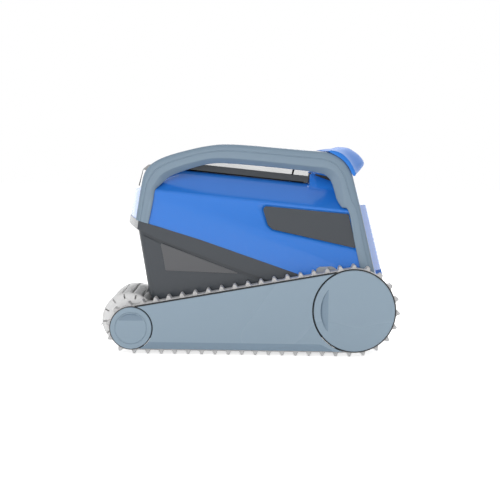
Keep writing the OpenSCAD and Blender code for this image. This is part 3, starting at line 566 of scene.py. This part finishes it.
# hull: a tub with turned front corners and a shadow groove under the band
hullParts = {"side": 141, "frontCorner": 9, "rearCorner": 6, "grooveDrop": 4.6, "grooveDepth": 2.4,
             "facet": [(-129.1, 156.2), (-121.2, 116.4), (-12.6, 113.2)], "facetProud": 0.8}
h = hullParts


def onSide(a, b):
    return abs(abs(a.y) - h["side"]) < 0.1 and abs(abs(b.y) - h["side"]) < 0.1


hull = copyOf("lower_hull", "lowerHull", wide=[
    (h["frontCorner"], 6, lambda a, b: onSide(a, b) and max(a.x, b.x) < -127.5 and min(a.z, b.z) < 150),
    (h["rearCorner"], 4, lambda a, b: onSide(a, b) and min(a.x, b.x) > 163.5 and abs(a.z - b.z) > 20)])
for side in (-1, 1):
    line = [(x, z + 0.5) for x, z in s["bandLow"]]
    trench = line + [(x - 1.0, z - h["grooveDrop"]) for x, z in s["bandLow"][::-1]]
    carve(hull, slab("bandGroove", trench, side, h["side"] - h["grooveDepth"], h["side"] + 3))
place(hull, darkPp, "body", "dark_plastic", "lower_hull")
# fairings over the wheels' inner flanks
guardParts = {"outline": [(94, 108), (96, 122.6), (101, 125.3), (118, 126.2), (125, 122.6), (127, 108)],
              "near": 141.2, "far": 147.2}
g = guardParts
facetShape = roundedOutline(h["facet"], [1.2, 2.5, 1.0], 4)
guardShape = roundedOutline(g["outline"], [0, 4, 5, 6, 4, 0], 4)
for side, name in sides:
    # the raised facet is real; its lighter tone is a painted reflection
    facet = slab("hullFacet" + name, facetShape, side, h["side"] - 0.4, h["side"] + h["facetProud"])
    place(roundEdges(facet, 0.5, 2, 40), facetReflectionPp, "body", "dark_plastic")
    inlay = slab("sideInlay" + name, inlayShape, side, f["halfWidth"] - s["inlayDepth"], f["halfWidth"] - 0.2)
    place(roundEdges(inlay, 0.5, 2, 40), darkPp, "body", "dark_plastic", "side_inlay_" + name.lower())
    guard = slab("trackGuard" + name, guardShape, side, g["near"], g["far"])
    place(roundEdges(guard, 1.2, 3), greyPlastic, "body", "grey_blue_plastic")
print("hull and inlays made")

# arches
# from the front foot to the rear foot: outer edge, inner edge, depth of the inner chamfer, its start
archParts = {"path": [
    (-165.4, 189.2, -146.8, 183.7, 0, 0.74), (-163.2, 203, -143.5, 200, 0, 0.74),
    (-160.6, 221, -140.2, 218, 0, 0.76),
    (-157.6, 240, -137.6, 232.5, 3.5, 0.76), (-154.5, 254, -129.5, 240.5, 6.5, 0.70),
    (-148, 265.5, -120, 249.8, 8, 0.68),
    (-137, 274.3, -110, 255.3, 8, 0.68), (-120, 282, -98, 260, 8, 0.69), (-95, 289.6, -82, 265.5, 8, 0.70),
    (-65.4, 296.5, -62, 270.8, 8, 0.71), (-36.7, 299.8, -38, 272.5, 8, 0.72), (0, 298.4, 0, 270, 8, 0.72),
    (46.8, 294.9, 45, 266.2, 8, 0.73), (85, 292.2, 80, 262.8, 8, 0.74), (108, 290.4, 96, 260.6, 8, 0.72),
    (120, 286.9, 105.8, 257.7, 8, 0.66), (131.8, 279.2, 112.5, 252.5, 8, 0.62),
    (139.5, 270, 116.8, 245, 8, 0.60),
    (145.1, 259.7, 120.3, 234.5, 8, 0.62), (149.5, 244, 123.8, 223, 7, 0.66),
    (154.5, 224.8, 131, 211.5, 4, 0.76),
    (159.4, 205.9, 141.2, 205.4, 0, 0.80), (169.8, 162, 150.5, 160, 0, 0.80),
    (184.8, 100, 164.6, 100, 0, 0.80)],
    "face": 147.4, "inner": 126, "foot": 132, "groove": (0.335, 0.372, 0.8)}
p = archParts


def archRing(side, station):
    xo, zo, xi, zi, deep, fold = station
    g0, g1, gd = p["groove"]
    face = p["face"]
    floorY = p["foot"] + (p["inner"] - p["foot"]) * min(1, max(0, (zi - 205) / 25))

    def back(u):
        x, z = xo + (xi - xo) * u, zo + (zi - zo) * u
        return max(floorY, sideAt(x, z) + 0.15)

    rim = [(0.0, back(0) + 1.5), (0.0, face - 4.8), (0.012, face - 3.6), (0.045, face - 2.5),
           (0.1, face - 1.6),
           (0.17, face - 0.9), (0.25, face - 0.45), (g0 - 0.012, face - 0.25), (g0, face - gd),
           (g1, face - gd),
           (g1 + 0.012, face - 0.05), (0.5, face), (fold - 0.03, face), (fold, face - 0.15),
           (fold + 0.03, face - 0.1 * deep),
           (0.96, face - 0.93 * deep), (0.99, face - deep - 0.5), (1.0, face - deep - 1.6)]
    low = back(1.0)
    rim += [(1.0, max(low + 0.6, low + (face - deep - 1.6 - low) * 0.15)), (0.985, low)]
    rim += [(u, back(u)) for u in (0.9, 0.75, 0.6, 0.45, 0.3, 0.15)] + [(0.03, back(0.03))]
    return [(xo + (xi - xo) * u, side * y, zo + (zi - zo) * u) for u, y in rim]


for side, name in sides:
    arch = loft("archFrame" + name, [archRing(side, q) for q in smoothPath(p["path"], 6)], sharp=50)
    place(arch, archAbsAndFacetShade, "body", "grey_blue_plastic", "arch_frame_" + name.lower())
print("arches made")

# carry handle, bowed back between the arches
handleParts = {"ends": [(110, 292.2), (114.5, 293.4), (122, 292.2), (130, 288.8), (137, 283.2), (143, 275.8),
                        (148, 267), (150.6, 260.4), (149.4, 256.8), (146.4, 257.6), (143.6, 263.5),
                        (139.9, 270),
                        (131.8, 279.3), (120, 287.1)],
               "middle": [(117.5, 292.4), (122, 295.0), (130.5, 297.8), (141.3, 296.6), (150.5, 291.8),
                          (158.8, 285.2),
                          (165, 275.5), (161.3, 267.3), (153.1, 259.6), (149.5, 262.5), (150.5, 270),
                          (146, 279),
                          (138, 286), (124, 289.5)],
               # the open lid leans in between
               "reach": 147.3, "bow": 70, "tongue": 14.5, "clearOf": (101, 114)}


def handleRing(y, shrink=0.0):
    share = min(1, (handleParts["reach"] - abs(y)) / handleParts["bow"])
    share = share * share * (3 - 2 * share)
    shape = [(a[0] + (b[0] - a[0]) * share, a[1] + (b[1] - a[1]) * share)
             for a, b in zip(handleParts["ends"], handleParts["middle"])]
    near, far = handleParts["clearOf"]
    out = min(1, max(0, (abs(y) - near) / (far - near)))
    out = out * out * (3 - 2 * out) * min(1, share * 2.2) * handleParts["tongue"]
    for k, part in ((0, 1), (1, 0.55)):
        shape[k] = (shape[k][0] - out * part, shape[k][1] - 0.4 * part * (out > 0))
    loop = smoothPath(shape + shape[:1], 5)[:-1]
    mx, mz = sum(q[0] for q in loop) / len(loop), sum(q[1] for q in loop) / len(loop)
    return [(x + (mx - x) * shrink, y, z + (mz - z) * shrink) for x, z in loop]


reach = handleParts["reach"]
steps = [(-reach, 0.08), (-reach + 0.6, 0.025), (-reach + 1.6, 0.0)]
steps += [(-reach + 4 + (2 * reach - 8) * k / 72, 0.0) for k in range(73)]
steps += [(-y, shrink) for y, shrink in steps[2::-1]]
handle = loft("carryHandle", [handleRing(y, shrink) for y, shrink in steps], sharp=60)
place(handle, gripAbs, "body", "blue_plastic", "carry_handle")
panelParts = {"proud": 8, "draft": 0.68}
panel = copyOf("rear_panel", "rearPanel")
for v in panel.data.vertices:  # the sides run out in a long soft draft
    x, y, z = v.co / mm
    out = x - endOf(False, y, z)
    if out > panelParts["proud"] / 2:
        y *= panelParts["draft"]
        v.co = Vector((endOf(False, y, z) + out, y, z)) * mm
tidyMesh(panel.data)
roundEdges(panel, 2.4, 4, 14)
place(panel, blueAbs, "body", "blue_plastic", "rear_panel")
print("handle and rear panel made")

# tracks
trackParts = {"wheel": (149.5, 65.5), "pulley": (-167.7, 36.7), "wheelTip": 65.5, "pulleyTip": 36.7,
              "lugHigh": 5.5,
              "strap": 3.0, "lugs": 48, "phase": 0.27, "near": 149, "far": 193, "lugFoot": 8.4, "lugTop": 3.4}
t = trackParts
beltR, smallR = t["wheelTip"] - t["lugHigh"], t["pulleyTip"] - t["lugHigh"]
run = t["wheel"][0] - t["pulley"][0]
rise = 2 * atan2(beltR - smallR, run)
wheelWrap, pulleyWrap = pi + rise, pi - rise
loopLength = 2 * run + wheelWrap * beltR + pulleyWrap * smallR
pitch = loopLength / t["lugs"]


def loopAt(s, grow=0.0):  # place on the belt's outer face, from under the pulley to the wheel and back on top
    s %= loopLength
    (wx, wz), (px, pz) = t["wheel"], t["pulley"]
    big, small = beltR + grow, smallR + grow
    if s < run:
        return px + s, wz - big
    if s < run + wheelWrap * beltR:
        a = -pi / 2 + (s - run) / beltR
        return wx + big * cos(a), wz + big * sin(a)
    if s < 2 * run + wheelWrap * beltR:
        a, back = pi / 2 + rise, s - run - wheelWrap * beltR
        return wx + big * cos(a) - back * cos(rise), wz + big * sin(a) - back * sin(rise)
    a = pi / 2 + rise + (s - 2 * run - wheelWrap * beltR) / smallR
    return px + small * cos(a), pz + small * sin(a)


def lugMesh():  # foot fillet, rounded crest, a notch at mid width and drafted ends
    foot, top, high, base = t["lugFoot"] / 2, t["lugTop"] / 2, t["lugHigh"], t["strap"] / 2
    shape = [(-foot - 1.0, -0.3), (-foot, 0.25), (-foot + 0.7, 1.0), (-top - 0.3, high - 1.1),
             (-top + 0.5, high - 0.25),
             (0, high), (top - 0.5, high - 0.25), (top + 0.3, high - 1.1), (foot - 0.7, 1.0), (foot, 0.25),
             (foot + 1.0, -0.3)]
    half = (t["far"] - t["near"]) / 2
    rings = []
    for y, x, z in ((-half + 0.15, 0.86, 0.80), (-half + 0.7, 0.97, 0.95), (-half + 2, 1, 1), (-3.2, 1, 1),
                    (-1.6, 0.9, 0.86), (1.6, 0.9, 0.86), (3.2, 1, 1), (half - 2, 1, 1),
                    (half - 0.7, 0.97, 0.95),
                    (half - 0.15, 0.86, 0.80)):
        rings.append([(q * x, y, base + (v * z if v > 0 else v)) for q, v in shape])
    return loft("treadLug", rings, sharp=45)


def groupTree(name, inputs):
    tree = bpy.data.node_groups.new(name, "GeometryNodeTree")
    tree.interface.new_socket("Geometry", in_out="INPUT", socket_type="NodeSocketGeometry")
    for label, kind in inputs:
        tree.interface.new_socket(label, in_out="INPUT", socket_type="NodeSocket" + kind)
    tree.interface.new_socket("Geometry", in_out="OUTPUT", socket_type="NodeSocketGeometry")
    return tree, addNode(tree, "NodeGroupInput")


def closeTree(tree, geometry, material):
    solid = addNode(tree, "GeometryNodeRealizeInstances", {"Geometry": geometry})
    named = addNode(tree, "GeometryNodeSetMaterial", {"Geometry": solid.outputs[0], "Material": material})
    addNode(tree, "NodeGroupOutput", {0: named.outputs[0]})


def runTree(thing, tree, values):
    grow = thing.modifiers.new(tree.name, "NODES")
    grow.node_group = tree
    for item in tree.interface.items_tree:
        if item.in_out == "INPUT" and item.name in values:
            grow[item.identifier] = values[item.name]
    return bakeModifiers(thing)


# belt: a strap swept round the loop, with lugs set out evenly along it
tree, inputs = groupTree("trackBelt", [("Lugs", "Int"), ("Width", "Float"), ("Strap", "Float"),
                                       ("Lug", "Object"), ("Finish", "Material")])
given = inputs.outputs
path = addNode(tree, "GeometryNodeMeshToCurve", {"Mesh": given["Geometry"]})
spots = addNode(tree, "GeometryNodeResampleCurve", {"Curve": path.outputs[0], "Count": given["Lugs"]})
heading = addNode(tree, "GeometryNodeInputTangent")
facing = addNode(tree, "FunctionNodeAlignRotationToVector", {"Vector": heading.outputs[0]}, axis="X",
                 pivot_axis="Y")
lug = addNode(tree, "GeometryNodeObjectInfo", {"Object": given["Lug"]}, transform_space="ORIGINAL")
treads = addNode(tree, "GeometryNodeInstanceOnPoints", {"Points": spots.outputs[0],
                                                        "Instance": lug.outputs["Geometry"],
                                                        "Rotation": facing.outputs[0]})
flat = addNode(tree, "GeometryNodeSetCurveNormal", {"Curve": path.outputs[0], "Normal": (0, 1, 0)},
               mode="FREE")
section = addNode(tree, "GeometryNodeCurvePrimitiveQuadrilateral",
                  {"Width": given["Width"], "Height": given["Strap"]})
eased = addNode(tree, "GeometryNodeFilletCurve",
                {"Curve": section.outputs[0], "Radius": 0.7 * mm, "Count": 2},
                mode="POLY")
strap = addNode(tree, "GeometryNodeCurveToMesh",
                {"Curve": flat.outputs[0], "Profile Curve": eased.outputs[0]})
whole = addNode(tree, "GeometryNodeJoinGeometry")
tree.links.new(treads.outputs[0], whole.inputs[0])
tree.links.new(strap.outputs[0], whole.inputs[0])
closeTree(tree, whole.outputs[0], given["Finish"])
beltTree = tree

# copies turned about an axis along Y
tree, inputs = groupTree("ringOfCopies", [("Item", "Object"), ("Count", "Int"), ("Start", "Float"), ("Step", "Float"),
                                          ("Centre", "Vector"), ("Finish", "Material")])
given = inputs.outputs
dots = addNode(tree, "GeometryNodePoints", {"Count": given["Count"]})
number = addNode(tree, "GeometryNodeInputIndex")
turned = addNode(tree, "ShaderNodeMath", {0: number.outputs[0], 1: given["Step"], 2: given["Start"]},
                 operation="MULTIPLY_ADD")
spin = addNode(tree, "ShaderNodeCombineXYZ", {"Y": turned.outputs[0]})
item = addNode(tree, "GeometryNodeObjectInfo", {"Object": given["Item"]}, transform_space="ORIGINAL")
copies = addNode(tree, "GeometryNodeInstanceOnPoints",
                 {"Points": dots.outputs[0], "Instance": item.outputs["Geometry"],
                                                        "Rotation": spin.outputs[0]})
moved = addNode(tree, "GeometryNodeTransform",
                {"Geometry": copies.outputs[0], "Translation": given["Centre"]})
closeTree(tree, moved.outputs[0], given["Finish"])
ringTree = tree

lug = lugMesh()
for side, name in sides:
    middle = side * (t["near"] + t["far"]) / 2
    start = t["phase"] * pitch
    count = 480
    ring = [loopAt(start - loopLength * k / count, -t["strap"] / 2) for k in range(count)]
    mesh = bpy.data.meshes.new("beltPath")
    mesh.from_pydata([(x * mm, middle * mm, z * mm) for x, z in ring],
                     [(k, (k + 1) % count) for k in range(count)], [])
    belt = addObject("trackBelt" + name, mesh)
    runTree(belt, beltTree,
            {"Lugs": t["lugs"], "Width": (t["far"] - t["near"]) * mm, "Strap": t["strap"] * mm,
                             "Lug": lug, "Finish": beltTpe})
    tidyMesh(belt.data, 45)
    place(belt, beltTpe, "body", "belt_rubber", "track_belt_" + name.lower())
forget(lug)
print("belts made", len(belt.data.polygons))

# covers, wheel discs and pulley caps
# profiles are (radius, distance from the middle plane)
discParts = {"face": 200, "facet": 48, "facetEdge": -37, "dip": 3.6,
             "wheel": [(axis, 200), (56.5, 200), (57.1, 199.85), (57.55, 199.4), (57.7, 198.8), (57.7, 194.3),
                       (57.4, 194), (50.7, 194), (50.7, 188), (47.7, 188), (47.7, 194), (axis, 194)],
             "cap": [(axis, 200), (21.6, 200), (21.9, 199.8), (22.05, 199.1), (22.95, 199.1), (23.1, 199.8),
                     (23.4, 200), (28.4, 200), (29.0, 199.8), (29.4, 199.3), (29.5, 198.7), (29.5, 194.2),
                     (29.2, 194), (axis, 194)],
             "capFacet": 20.6, "capEdge": 10.7, "capDip": 2.8,
             "capCut": [(axis, 193.99), (38, 193.99), (38, 204), (axis, 204)]}  # parts a drum from its cap
d = discParts


def paintFacetShade(thing, material, test):  # painted shade: a second, darker material on the leaning and downward facets, picked by place and normal
    thing.data.materials.append(material)
    for face in thing.data.polygons:
        if test(face.center / mm, face.normal):
            face.material_index = 1
    return thing


# a tool for a leaning facet between a chord and an arc of a round face, deepest at the arc
def scoop(side, centre, radius, edge, dip, upright, steps=40):
    half = sqrt(radius ** 2 - edge ** 2)
    reach = radius - abs(edge)
    base = atan2(half, abs(edge))
    flat = []
    for k in range(steps + 1):
        a = -base + 2 * base * k / steps
        flat.append((radius * cos(a), radius * sin(a)))
    low, high = [], []
    for out, along in flat:
        sink = dip * (out - abs(edge)) / reach
        x, z = (centre[0] + along, centre[1] + out) if upright else (centre[0] - out, centre[1] + along)
        low.append((x, side * (d["face"] + 0.02 - sink), z))
        high.append((x, side * (d["face"] + 3), z))
    return loft("facetCut", [low, high])


def topLine(away, back, ahead):  # a stretch of the straight top run, away from the belt's outer face
    first, last = run + wheelWrap * beltR, 2 * run + wheelWrap * beltR
    a, b = Vector(loopAt(first + 0.01, -away)), Vector(loopAt(last - 0.01, -away))
    along = (b - a).normalized()
    return tuple(a + along * back), tuple(b - along * ahead)


def shadeRingOf(name, side, centre, inner, outer, steps, body):  # painted shade: a dark nylon ring round a disc at the belt's edge, standing in for the shadowed gap between disc and belt
    back, front, turn = 193.25, 194.5, 0.3
    outline = [(inner, back), (outer - turn, back), (outer, back + 0.25), (outer, front - turn),
               (outer - turn, front), (inner + 0.1, front)]
    place(lathe(name, centre, outline, steps, side), nylon, body, "black_plastic")


seamParts = {"cut": 3.2, "line": 5.6, "wheelEnd": 20.6, "pulleyEnd": 14.5, "shadeLiner": (194.1, 196.4),
             "taper": ((101.5, 17.5, 4), (121, 8.3, 0.4))}  # x, height and sink of the lower chamfer's ends
m = seamParts
for side, tag in sides:
    name = tag.lower()
    cover = copyOf("side_cover_" + name, "sideCover" + tag)
    a, b = topLine(m["cut"], -30, -30)
    e, g = topLine(-4, -30, -30)
    carve(cover, slab("coverTop", [a, b, g, e], side, 190, 204))
    ends = []
    for x, z, sink in m["taper"]:
        ends.append([(x, side * 201, z), (x, side * 200, z), (x, side * (200 - sink), 7), (x, side * 201, 7)])
    carve(cover, loft("coverTaper", ends))
    roundEdges(cover, 0.8, 2, 25)
    # a dark nylon strip behind the cover's trimmed top edge: painted shade in the gap between cover and belt
    a, b = topLine(m["line"], m["wheelEnd"], m["pulleyEnd"])
    e, g = topLine(0.9, m["wheelEnd"] - 6, m["pulleyEnd"] - 5)
    place(slab("seamLiner" + tag, [a, b, g, e], side, *m["shadeLiner"]), nylon, "body", "black_plastic")
    place(cover, greyBlueAbs, "body", "grey_blue_plastic", "side_cover_" + name)
    # the cover's downward lower chamfer takes the darker arch ABS as painted shade
    paintFacetShade(cover, archAbsAndFacetShade, lambda c, n: n.z < -0.15 and abs(n.y) > 0.6 and c.z < 18)

    w = t["wheel"]
    disc = lathe("wheelDisc" + tag, w, d["wheel"], 160, side)
    carve(disc, scoop(side, w, d["facet"], d["facetEdge"], d["dip"], False), sharp=12)
    place(disc, greyBlueAbs, name + "_wheel", "grey_blue_plastic", "wheel_disc_" + name)
    shadeRingOf("wheelFlange" + tag, side, w, 56.9, 59.6, 128, name + "_wheel")
    # the disc's leaning facet is carved; its darker tone is painted shade
    paintFacetShade(disc, archAbsAndFacetShade, lambda c, n: c.x < w[0] + d["facetEdge"] + 0.1 and 0.5 < abs(n.y) < 0.995
               and hypot(c.x - w[0], c.z - w[1]) < d["facet"] - 0.1)

    q = t["pulley"]
    cap = lathe("pulleyCap" + tag, q, d["cap"], 120, side)
    carve(cap, scoop(side, q, d["capFacet"], d["capEdge"], d["capDip"], True), sharp=12)
    drum = copyOf("pulley_" + name, "pulleyDrum" + tag)
    carve(drum, lathe("capCut", q, d["capCut"], side=side))
    place(drum, darkPp, name + "_pulley", "dark_plastic", "pulley_" + name)
    place(cap, greyBlueAbs, name + "_pulley", "grey_blue_plastic")
    shadeRingOf("pulleyFlange" + tag, side, q, 28.7, 30.8, 96, name + "_pulley")
    # the cap's leaning facet is carved; its darker tone is painted shade
    paintFacetShade(cap, archAbsAndFacetShade, lambda c, n: c.z > q[1] + d["capEdge"] and 0.5 < abs(n.y) < 0.995
               and hypot(c.x - q[0], c.z - q[1]) < d["capFacet"] - 0.1)
print("covers and discs made")

# brush rollers: foamed petals round a sleeve, two wiper blades and a grooved rim at the outer end
brushParts = {"centre": (-173.4928, 44.8513), "radius": 38.8, "root": 30.8, "slot": 2.6, "petals": 15,
              "near": 7, "far": 132.5, "round": 6, "blade": 42.3, "bladeFoot": 2.6, "bladeTip": 0.9,
              "firstPetal": (23.4, 0), "firstBlade": (11.4, 60),
              "ring": (28.05, 131, 133, 140.5),  # the rim's bore and its places across
              "grooves": 13, "groove": 2.1, "grooveTop": 37.0, "firstGroove": (73.9, 60),
              "sleeve": [(28.05, 7), (29.8, 7), (30.6, 7.5), (30.8, 8.3), (30.8, 139.2), (30.6, 140),
                         (29.8, 140.5), (28.05, 140.5)],
              "ending": [(12.4, 140.56), (27.9, 140.56), (28.3, 140.8), (28.3, 141.1), (27.7, 141.4),
                         (13.0, 141.6), (12.4, 141.3)]}
b = brushParts


def petalMesh(side):
    count, rings = 7, []
    ends, wedge = (b["near"], b["far"]), 180 / b["petals"]
    for y, edge in [(ends[0] + e, e) for e in (0.0, 0.5, 1.3, 2.5, 4, 6, b["round"])] + \
            [(ends[0] + 24 * k, b["round"]) for k in range(1, 5)] + \
            [(ends[1] - e, e) for e in (b["round"], 6, 4, 2.5, 1.3, 0.5, 0.0)]:
        dip = b["round"] - sqrt(b["round"] ** 2 - (b["round"] - edge) ** 2)
        top = max(b["root"] + 0.15, b["radius"] - dip * 0.86)
        ring = []
        for k in range(count):  # inner arc
            a = radians((wedge + 0.4) * (2 * k / (count - 1) - 1))
            r = b["root"] - 0.6
            ring.append((r * cos(a), r * sin(a)))
        for k in range(count + 2):  # outer arc, turned down to the slots
            share = k / (count + 1)
            gap = asin((b["slot"] / 2) / top)
            half = radians(wedge) - gap
            a = half - 2 * half * share
            ease = 0.9 if k in (0, count + 1) else 0.15 if k in (1, count) else 0
            r = top - ease * min(1, (top - b["root"]) / 4)
            if k in (1, count):
                a = (half - radians(1.6)) * (1 if k == 1 else -1)
            ring.append((r * cos(a), r * sin(a)))
        half = radians(wedge) - asin((b["slot"] / 2) / b["root"])
        ring.insert(count, (b["root"] * cos(half), b["root"] * sin(half)))
        ring.append((b["root"] * cos(half), -b["root"] * sin(half)))
        rings.append([(x, side * y, z) for x, z in ring])
    return loft("brushPetal", rings, sharp=35)


def bladeMesh(side):
    rings = []
    foot, tip = b["bladeFoot"] / 2, b["bladeTip"] / 2
    for y, high in ((8.5, 0.72), (10.5, 0.93), (14, 1), (40, 1), (74, 1), (108, 1), (133.5, 1), (137, 0.93),
                    (139, 0.72)):
        top = b["root"] + (b["blade"] - b["root"]) * high
        shape = [(b["root"] - 0.6, -foot), (b["root"] + 6.0, -foot * 0.62), (top - 0.9, -tip), (top, 0),
                 (top - 0.9, tip), (b["root"] + 6.0, foot * 0.62), (b["root"] - 0.6, foot)]
        rings.append([(x, side * y, z) for x, z in shape])
    return loft("wiperBlade", rings, sharp=50)


def ringOf(name, item, count, first, sharp):  # even copies round the brush, as one mesh
    ring = addObject(name, bpy.data.meshes.new(name))
    centre = (b["centre"][0] * mm, 0, b["centre"][1] * mm)
    runTree(ring, ringTree, {"Item": item, "Count": count, "Start": -radians(first),
                             "Step": -2 * pi / count, "Centre": centre, "Finish": brushTpe})
    tidyMesh(ring.data, sharp)
    forget(item)
    return ring


for index, (side, tag) in enumerate(sides):
    name = tag.lower()
    petals = ringOf("brushPetals" + tag, petalMesh(side), b["petals"], b["firstPetal"][index], 35)
    blades = ringOf("wiperBlades" + tag, bladeMesh(side), 2, b["firstBlade"][index], 50)
    sleeve = lathe("brushSleeve" + tag, b["centre"], b["sleeve"], 96, side)
    for piece in (petals, blades):
        place(piece, brushTpe, name + "_brush", "brush_rubber")
    place(sleeve, brushTpe, name + "_brush", "brush_rubber", "brush_sleeve_" + name)
    bore, first, shoulder, last = b["ring"]
    turn = [(b["radius"] - 8.8 * (1 - cos(a * pi / 16)),
             shoulder + (last - 0.1 - shoulder) * sin(a * pi / 16))
            for a in range(9)]
    rim = lathe("brushRim" + tag, b["centre"], [(bore, first), (38.2, first), (b["radius"], first + 0.6)]
                + turn + [(bore, last)], 96, side)
    half, foot, top = b["groove"] / 2, 24, b["grooveTop"]
    groove = slab("groove", [(foot, -half), (top, -half), (top, half), (foot, half)],
                  side, shoulder - 0.5, last + 1)
    grooves = ringOf("grooves", groove, b["grooves"], b["firstGroove"][index], 38)
    place(carve(rim, grooves, sharp=35), brushTpe, name + "_brush", "brush_rubber")
    ending = lathe("brushEnd" + tag, b["centre"], b["ending"], 96, side)
    place(ending, brushTpe, name + "_brush", "brush_rubber")
    core = copyOf("brush_core_" + name, "brushCore" + tag)
    place(core, nylon, name + "_brush", "black_plastic", "brush_core_" + name)
print("brushes made")

# lid
lidParts = {"bow": f["frontRadius"], "from": -138, "over": 20, "cuts": 14, "step": 7,
            "slot": [(58.6, 256.6), (61.2, 256.4), (65.6, 272), (63.0, 272)],
            "grip": [(-159, 257.5), (-161.2, 261.4), (-153.4, 267.8), (-146, 268.8), (-146, 258)],
            "gripSpan": (32.5, 94)}


def bowFront(thing):  # turns the flat front into the same bulge as the nose below it
    bm = bmesh.new()
    bm.from_mesh(thing.data)
    for k in range(-lidParts["cuts"], lidParts["cuts"] + 1):
        bmesh.ops.bisect_plane(bm, geom=bm.verts[:] + bm.edges[:] + bm.faces[:],
                               plane_co=(0, k * lidParts["step"] * mm, 0), plane_no=(0, 1, 0))
    for v in bm.verts:
        share = min(1, max(0, (lidParts["from"] - v.co.x / mm) / lidParts["over"]))
        v.co.x += share * v.co.y ** 2 / (2 * lidParts["bow"] * mm)
    bm.to_mesh(thing.data)
    bm.free()
    tidyMesh(thing.data, 30)


lid = copyOf("lid_frame", "lidFrame")
for side in (-1, 1):
    carve(lid, slab("lidSlot", lidParts["slot"], side, 80, 100))
bowFront(lid)
roundEdges(lid, 1.0, 3, 22)
place(lid, blackAbs, "lid", "black_plastic", "lid_frame")
for side, name in sides:  # matt black nylon blocks either side of the latch: painted shade on the lid's front
    grip = slab("lidGrip" + name, roundedOutline(lidParts["grip"], [0, 1.5, 3, 2, 0], 4), side,
                *lidParts["gripSpan"])
    bowFront(grip)
    place(grip, nylon, "lid", "black_plastic")
window = copyOf("lid_window", "lidWindow", 0.4, 2, 50)
place(window, smoke, "lid", "smoked_window", "lid_window")
latch = copyOf("latch_lever", "latchLever", 0.7, 2, 35)
place(latch, blackAbs, "latch", "black_plastic", "latch_lever")
print("lid made")

# visible inner parts, with the small radii of their mouldings
for source, material, slot, width in (
        ("filter_basket", greyPlastic, "dark_plastic", 0.5), ("outlet_grille", darkPp, "dark_plastic", 0.4),
        ("gland_nut", nylon, "black_plastic", 0.4), ("cable_gland", nylon, "black_plastic", 0.4)):
    words = source.split("_")
    place(copyOf(source, words[0] + words[1].title(), width, 2, 35), material, "body", slot, source)
print("inner parts made")

# the rest keep their CAD shape and take a real finish
for material, names in (
        (darkPp, "bottom_plate track_frame_left track_frame_right brush_arm_left brush_arm_right "
                 "centre_bracket wheel_left wheel_right pump_duct"),
        (nylon, "wheel_bushes_left wheel_bushes_right motor_housing motor_cap"),
        (stainless, "wheel_axles pulley_axle_left pulley_axle_right flap_pins hinge_pin plate_screws "
                    "impeller_nut drive_pinion_left drive_pinion_right"),
        (canSteel, "pump_motor drive_motors"), (board, "control_board"), (acetal, "impeller"),
        (nitrile, "motor_seal lid_seal"), (flapRubber, "intake_flap_front intake_flap_rear"),
        (foam, "float_blocks"), (cloth, "filter_panels")):
    for name in names.split():
        nodes[name].data.materials.clear()
        nodes[name].data.materials.append(material)
print("finishes applied")

low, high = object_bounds()
print("bounds", [round(c / mm, 1) for c in (*low, *high)])
